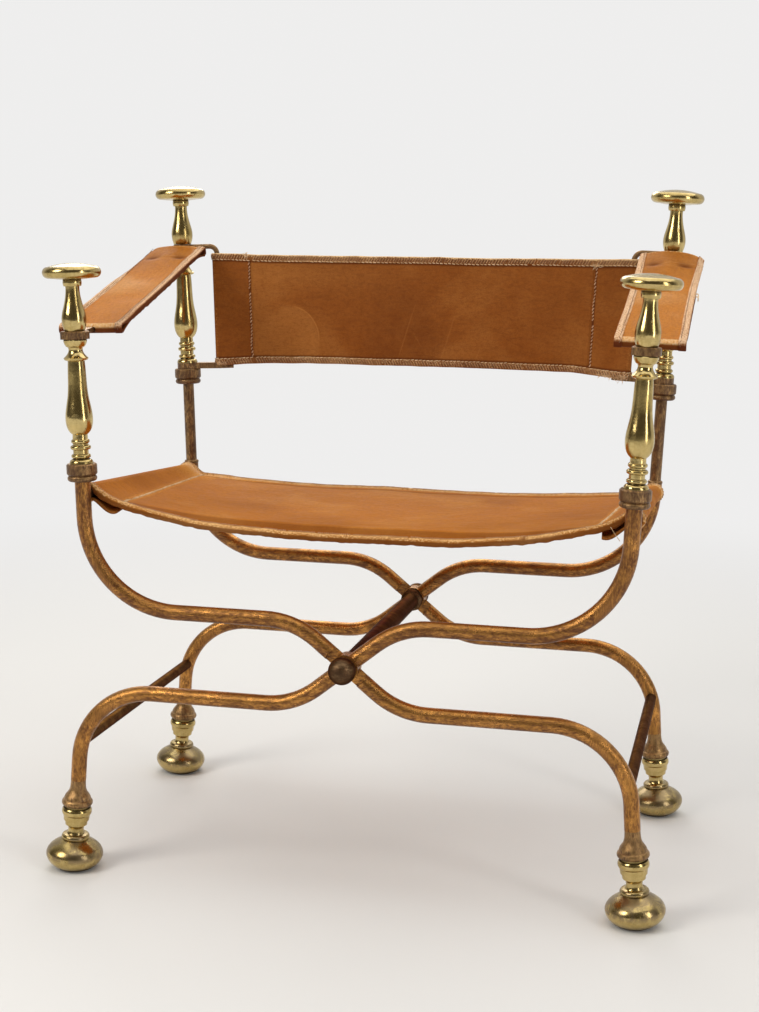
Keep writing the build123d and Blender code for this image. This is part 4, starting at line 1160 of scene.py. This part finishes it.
def build_back(hides, threads):
    """The back in three lengths that meet at the seams, each with its hems, stitches and frays."""
    whole = back_sheet()
    flap, ends = BACK_STEPS[2], sum(BACK_STEPS)
    seams = (ends, whole.columns - 1 - ends)
    meets = (ends + 1, whole.columns - 2 - ends)
    marks = back_marks(whole, seams)
    seam_places = [whole.along[s] for s in seams]
    tufts = back_tufts(whole, *seam_places)
    for name, first, last, start_body, end_body, start, end in back_lengths(whole, meets):
        sheet = part_of(whole, first, last)
        body = sheet_object(name, sheet, hides["back_hide"], {label: values[:, first:last + 1]
                                                              for label, values in marks.items()})
        lips = (flap if name == "back_left_sleeve" else 0,
                sheet.columns - 1 - (flap if name == "back_right_sleeve" else 0))
        pieces = [hem_object(f"{name}_{edge}_hem", sheet, edge, hides["back_hem_hide"], BACK_HEM,
                             lips, seed=7.0, squareness=0.4, pale=BACK_PALE[edge], face=0.0)
                  for edge in EDGES]
        low = sheet.along[lips[0]] + BACK_STITCH_ENDS[0]
        high = sheet.along[lips[1]] - BACK_STITCH_ENDS[1]
        pieces += back_stitches(name, whole, low, high, seam_places, threads)
        pieces.append(frayed(f"{name}_frays", whole, tufts[name], threads["linen_thread"],
                             BACK_FRAY_R))
        for piece in [body] + pieces:
            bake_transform(piece)
        if name == "back":
            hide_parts("back_leather")


# ---------------------------------------------------------------- arm straps

STRAP_STEPS = (10, 16, 14)
STRAP_MIDDLE = 96
STRAP_ROWS = 34
STRAP_HEM = (8.0 * MM, 0.8 * MM, 2.3 * MM, 5.5 * MM)
# Painted highlight on the strap hems: its angle, how pale it is and how narrow.
STRAP_PALE = (95, 0.80, 0.4)
STRAP_DISH = 2.6 * MM         # long edges above the middle
STRAP_CROWN = {LEFT: 4.2 * MM, RIGHT: 7.0 * MM}   # rear end's middle above its rod
STRAP_STITCH_ROWS = {LEFT: (3.4 * MM, 6.2 * MM), RIGHT: (5.6 * MM,)}
STRAP_DROOP = {LEFT: 8.5 * MM, RIGHT: 3.5 * MM}   # outer rear corner
STRAP_CORNER = 0.55           # share of the strap's half width where the droop starts
STRAP_DIP = 3.0 * MM          # hollows beside the middle of the rear end
STRAP_LOOP_AT = 216 * MM      # two short threads that stand out from the outer hem
STRAP_LOOPS = {"upper": ((0.001, 0.000, 0.001), (0.002, 0.002, 0.003), (-0.001, 0.0045, 0.002),
                         (-0.004, 0.004, -0.001)),
               "lower": ((-0.003, 0.000, 0.000), (-0.003, 0.002, 0.001), (-0.006, 0.0045, 0.000),
                         (-0.009, 0.004, -0.003))}
STRAP_SKIVED_T = 1.8 * MM     # leather thinned where it turns round a rod
STRAP_NARROW = 0.02           # share that a strap is narrower in its middle
STRAP_RIPPLE, STRAP_WAVES = 1.5 * MM, 22
# reach of the painted sheen along the long edges
STRAP_SHEEN_REACH = 9 * MM
STRAP_DASH_PITCH, STRAP_DASH = 3.6 * MM, 1.1 * MM
STRAP_STITCH_END = 3 * MM
STRAP_LOOP_R = 0.7 * MM
STRAP_SEAM_IN = 0.8 * MM      # where the turned-under end starts, below the top of the turn
STRAP_FLAP_SHORT = 2 * MM     # the flap's end before that place
STRAP_FLAP_GAP = 0.3 * MM
STRAP_LIP_HIGHLIGHT = (0.95, 0.55)  # how pale the painted highlight on its front and rear lips is
STRAP_LIP_STEPS = (9, 3)      # steps of the turn before a lip, and those it fades over


def cross_rod(side, row):
    """A point on the middle of a hanger's cross rod."""
    low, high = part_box(f"{row}_{SIDE_NAMES[side]}_arm_hanger")
    y = high[1] - CROSS_ROD_R if row == "front" else low[1] + CROSS_ROD_R
    lean = post_axis(side)[1]
    return post_point(side, 0, y, high[2] - CROSS_ROD_R * lean.z - CROSS_ROD_HALF * abs(lean.x))


def strap_hollow(along, across):
    """0 to 1: the two hollows beside the middle of a strap's rear end."""
    return np.exp(-((along - 0.985) / 0.035) ** 2) * np.sin(pi * across) ** 2


def strap_sheet(side):
    """An arm strap between its two cross rods, a little hollow along its middle."""
    up_post = post_axis(side)[1]
    across = Vector((up_post.z, 0, -up_post.x))
    front, rear = cross_rod(side, "front"), cross_rod(side, "rear")
    along = (rear - front).normalized()
    up = across.cross(along)
    radius = CROSS_ROD_R + SOFT_GAP + STRAP_SKIVED_T / 2
    halves = []
    for rod, outward in ((front, -along), (rear, along)):
        seam = rod - outward * STRAP_FLAP + up * (radius - STRAP_SEAM_IN)
        flap_end = seam + outward * STRAP_FLAP_SHORT - up * (LEATHER_T + STRAP_FLAP_GAP)
        halves.append((seam, round_rod(seam, outward, rod, outward, up, radius, flap_end,
                                       STRAP_STEPS, leave=4, tuck=16)))
    line = slung_line(*halves, STRAP_MIDDLE, -up * STRAP_SAG)
    ends = sum(STRAP_STEPS)
    grid = []
    for row in range(STRAP_ROWS):
        f = row / (STRAP_ROWS - 1)
        u = 2 * f - 1
        corner = max(0.0, (side * u - STRAP_CORNER) / (1 - STRAP_CORNER)) ** 3.2
        strip = []
        for index, point in enumerate(line):
            way_along = (index - ends) / STRAP_MIDDLE
            g = min(max(way_along, 0), 1)
            loose = sin(pi * g) ** 0.5
            above = min(1.0, max(0.0, (point - rear).dot(up) / radius))
            curl = (STRAP_DISH * loose * u * u + STRAP_CROWN[side] * ease(g) * (1 - u * u) * above
                    - STRAP_DROOP[side] * corner * ease(max(0.0, 2 * g - 1))
                    - STRAP_DIP * strap_hollow(way_along, u))
            narrow = 1 - STRAP_NARROW * loose
            strip.append(tuple(point + across * (u * STRAP_W / 2 * narrow) + up * curl))
        grid.append(strip)
    sheet = Sheet(grid, up)
    calm = np.zeros(sheet.columns)
    calm[ends:-ends] = np.sin(np.linspace(0, pi, sheet.columns - 2 * ends)) ** 0.5
    steady = 1 - np.abs(np.linspace(-1, 1, STRAP_ROWS))[:, None] ** 3
    sheet.lift(ripple(sheet, STRAP_RIPPLE, STRAP_WAVES, 3.0 + side, calm) * steady)
    return sheet


def strap_marks(side, sheet):
    """How worn and how dark a strap is: painted highlight on the lips and painted sheen near the long edges;
    handling marks, and painted shade on the turns, the flaps and in the hollows.
    """
    _, wrap, flap = STRAP_STEPS
    bend = flap + wrap
    before, fade = STRAP_LIP_STEPS
    rubbed = np.zeros((1, sheet.columns))
    # Painted highlight on the upper part of each lip.
    rubbed[0, flap + before + 1:bend + 1] = STRAP_LIP_HIGHLIGHT[0]
    rubbed[0, -bend - 1:-flap - before - 1] = STRAP_LIP_HIGHLIGHT[1]
    lip = np.clip((np.arange(wrap) - before) / fade, 0, 1)
    soiled = soil_marks(sheet, seed=20 + side)
    # Painted shade on the flaps under the strap and on the lower part of each turn round its rod.
    soiled[:, :flap] = soiled[:, -flap:] = 1
    soiled[:, flap:bend] = 1 - lip
    soiled[:, -bend:-flap] = 1 - lip[::-1]
    u = np.linspace(-1, 1, STRAP_ROWS)[:, None]
    way_along = ((np.arange(sheet.columns) - sum(STRAP_STEPS)) / STRAP_MIDDLE)[None, :]
    # Painted sheen near the long edges, and painted shade in the two hollows.
    return {"rubbed": np.maximum(edge_rub(sheet, STRAP_SHEEN_REACH) * 0.7, rubbed),
            "soiled": np.maximum(soiled, 0.8 * strap_hollow(way_along, u))}


def build_strap(side, hides, threads):
    sheet = strap_sheet(side)
    name = f"{SIDE_NAMES[side]}_strap"
    cover, wrap, flap = STRAP_STEPS
    marks = strap_marks(side, sheet)
    middle = (STRAP_ROWS - 1) / 2
    half_slot = NECK_SLOT / 2 / STRAP_W * (STRAP_ROWS - 1)
    slot_rows = (round(middle - half_slot), round(middle + half_slot))
    low_end, high_end = flap + 2, flap + wrap - 5
    last = sheet.columns - 1
    slots = [((low_end, high_end), slot_rows), ((last - high_end, last - low_end), slot_rows)]
    from_end = np.minimum(np.arange(sheet.columns), np.arange(sheet.columns)[::-1])
    taper = np.clip((from_end - flap - wrap) / cover, 0, 1)
    strap = sheet_object(name, sheet, hides["strap_hide"], marks,
                         STRAP_SKIVED_T + (LEATHER_T - STRAP_SKIVED_T) * taper, slots)
    lips = (flap + 5, last - 5 - flap)
    pieces = [hem_object(f"{name}_{edge}_hem", sheet, edge, hides["hem_hide"], STRAP_HEM, lips,
                         seed=12.0, squareness=0.3, pale=STRAP_PALE, face=0.8,
                         soiled=marks["soiled"], slim=0.3 + 0.7 * taper) for edge in EDGES]
    low, high = (sheet.along[at] + inwards * STRAP_STITCH_END for at, inwards in zip(lips, (1, -1)))
    rows = [(low, high, STRAP_DASH_PITCH, dashes_along(sheet, edge, inset, STRAP_DASH))
            for edge in EDGES for inset in STRAP_STITCH_ROWS[side]]
    pieces.append(stitch_rows(f"{name}_stitches", sheet, rows, threads["dark_thread"]))
    if side == RIGHT:
        start, way, outward, normal = sheet.spot(STRAP_LOOP_AT, sheet.width)
        for end, loop in STRAP_LOOPS.items():
            points = [start + way * a + outward * b + normal * c for a, b, c in loop]
            pieces.append(loose_thread(f"{name}_{end}_loop", points, threads["linen_thread"],
                                       STRAP_LOOP_R))
    body = "frame_b" if side == LEFT else "frame_a"
    for piece in [strap] + pieces:
        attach(piece, body)
    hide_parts(f"{SIDE_NAMES[side]}_arm_strap")


# ---------------------------------------------------------------- metal

# Bare iron, its coat, how much of it is left, the scale of its wear, its roughness, how
# metallic the bare iron looks and the tint of what it mirrors at a flat angle.
IRONS = {
    "gilt_iron": ((0.125, 0.043, 0.012, 1), (0.72, 0.34, 0.085, 1), 0.47, 150.0, 0.22, 0.58,
                  (1, 1, 1, 1)),
    "dark_iron": ((0.085, 0.047, 0.025, 1), (0.25, 0.155, 0.080, 1), 0.42, 110.0, 0.30, 0.93,
                  (0.30, 0.20, 0.12, 1)),
    "bronzed_iron": ((0.100, 0.048, 0.021, 1), (0.54, 0.32, 0.13, 1), 0.46, 160.0, 0.27, 0.58,
                     (1, 1, 1, 1))}


def finish_metal():
    """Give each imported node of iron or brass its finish."""
    finishes = {name: iron_finish(name, *look) for name, look in IRONS.items()}
    finishes["brass"] = brass_finish()
    for part in frame["record"]["subparts"]:
        finish = finishes.get(part["material_slot"])
        if finish:
            mesh = frame["nodes"][part["node"]].data
            mesh.materials.clear()
            mesh.materials.append(finish)


# ---------------------------------------------------------------- stage

FLOOR_TONE = (0.80, 0.79, 0.77, 1)
BACKDROP = (0.86, 0.855, 0.85, 1)
ROOM = (0.090, 0.080, 0.060, 1)          # the studio in front, which the metal reflects
GLIMPSE = 0.72                           # the backdrop's share in what the metal reflects
FILL = 0.36                              # strength of the light from all round
FADE_NEAR, FADE_FAR = 0.9, 2.6           # distances over which the floor becomes the backdrop


def seen_directly(graph):
    """1 for what the camera sees, itself or in a gloss or through glass."""
    rays = graph.node("ShaderNodeLightPath").outputs
    return graph.maths("MAXIMUM", rays["Is Camera Ray"],
                       graph.maths("MAXIMUM", rays["Is Glossy Ray"], rays["Is Transmission Ray"]))


def floor_finish():
    """A pale floor that runs into the backdrop without an edge."""
    material, graph, shader = new_material("floor", Base_Color=FLOOR_TONE, Roughness=0.75,
                                           Specular_IOR_Level=0.1)
    away = graph.node("ShaderNodeVectorMath", {0: graph.place()}, operation="LENGTH")
    far = graph.times(graph.between(away.outputs["Value"], FADE_NEAR, FADE_FAR),
                      seen_directly(graph))
    glow = graph.node("ShaderNodeEmission", {"Color": BACKDROP, "Strength": 1.0})
    mixed = graph.node("ShaderNodeMixShader", {0: far, 1: shader.outputs["BSDF"],
                                               2: glow.outputs["Emission"]})
    output = material.node_tree.nodes["Material Output"]
    graph.feed(output.inputs["Surface"], mixed.outputs["Shader"])
    return material


def add_stage():
    floor = add_mesh("floor", [(-9, -9, 0), (9, -9, 0), (9, 9, 0), (-9, 9, 0)], [(0, 1, 2, 3)],
                     floor_finish(), smooth=False)
    world = bpy.data.worlds.new("studio")
    world.use_nodes = True
    bpy.context.scene.world = world
    graph = Tree(world.node_tree)
    world.node_tree.nodes.clear()
    rays = graph.node("ShaderNodeLightPath").outputs
    rearward = graph.between(graph.part(graph.place("Generated"), "Y"), 0.0, 0.45)
    glimpsed = graph.times(rearward, GLIMPSE)
    behind = graph.maths("MAXIMUM", glimpsed, rays["Is Camera Ray"])
    studio = graph.mix(behind, ROOM, BACKDROP)
    fill = graph.node("ShaderNodeBackground", {"Color": (1, 1, 1, 1), "Strength": FILL})
    backdrop = graph.node("ShaderNodeBackground", {"Color": studio, "Strength": 1.0})
    mixed = graph.node("ShaderNodeMixShader", {0: seen_directly(graph), 1: fill.outputs[0],
                                               2: backdrop.outputs[0]})
    graph.node("ShaderNodeOutputWorld", {"Surface": mixed.outputs[0]})


# Each hide's own colour, its pale colour (for wear and painted light), its dark colour (for dirt and painted
# shade), its roughness and its gloss, and for the back its curved scratch.
HIDES = {
    "seat_hide": ((0.51, 0.168, 0.016, 1), (0.70, 0.31, 0.065, 1), (0.17, 0.042, 0.006, 1), 0.56),
    "seat_hem_hide": ((0.44, 0.150, 0.020, 1), (0.84, 0.52, 0.22, 1), (0.14, 0.035, 0.006, 1), 0.6),
    "back_hide": ((0.26, 0.074, 0.009, 1), (0.50, 0.20, 0.045, 1), (0.10, 0.024, 0.004, 1), 0.50,
                  0.10, BACK_SCRATCH),
    "back_hem_hide": ((0.22, 0.065, 0.012, 1), (0.82, 0.56, 0.28, 1), (0.08, 0.020, 0.005, 1), 0.6),
    "strap_hide": ((0.52, 0.175, 0.014, 1), (0.80, 0.47, 0.20, 1), (0.15, 0.040, 0.008, 1), 0.52),
    "hem_hide": ((0.36, 0.115, 0.018, 1), (0.80, 0.53, 0.32, 1), (0.12, 0.028, 0.008, 1), 0.6)}
# Each thread's colour and what it is where worn.
THREADS = {"linen_thread": ((0.80, 0.58, 0.34, 1), (0.50, 0.28, 0.11, 1)),
           "dark_thread": ((0.15, 0.055, 0.016, 1), (0.24, 0.10, 0.035, 1)),
           "hem_thread": ((0.60, 0.33, 0.13, 1), (0.33, 0.14, 0.045, 1)),
           "seam_thread": ((0.62, 0.37, 0.20, 1), (0.40, 0.19, 0.08, 1))}


def build():
    build_mottling()
    build_skin_grain()
    build_scratches()
    build_wear_and_highlight()
    finish_metal()
    hides = {name: leather_finish(name, *look) for name, look in HIDES.items()}
    threads = {name: thread_finish(name, *look) for name, look in THREADS.items()}
    build_seat(hides, threads)
    build_back(hides, threads)
    for side in (LEFT, RIGHT):
        build_strap(side, hides, threads)
    add_stage()
    for name, at, size, power, colour in LAMPS:
        add_lamp(name, at, size, power, colour)
    add_camera()
    bpy.context.scene.view_settings.view_transform = "Standard"


build()
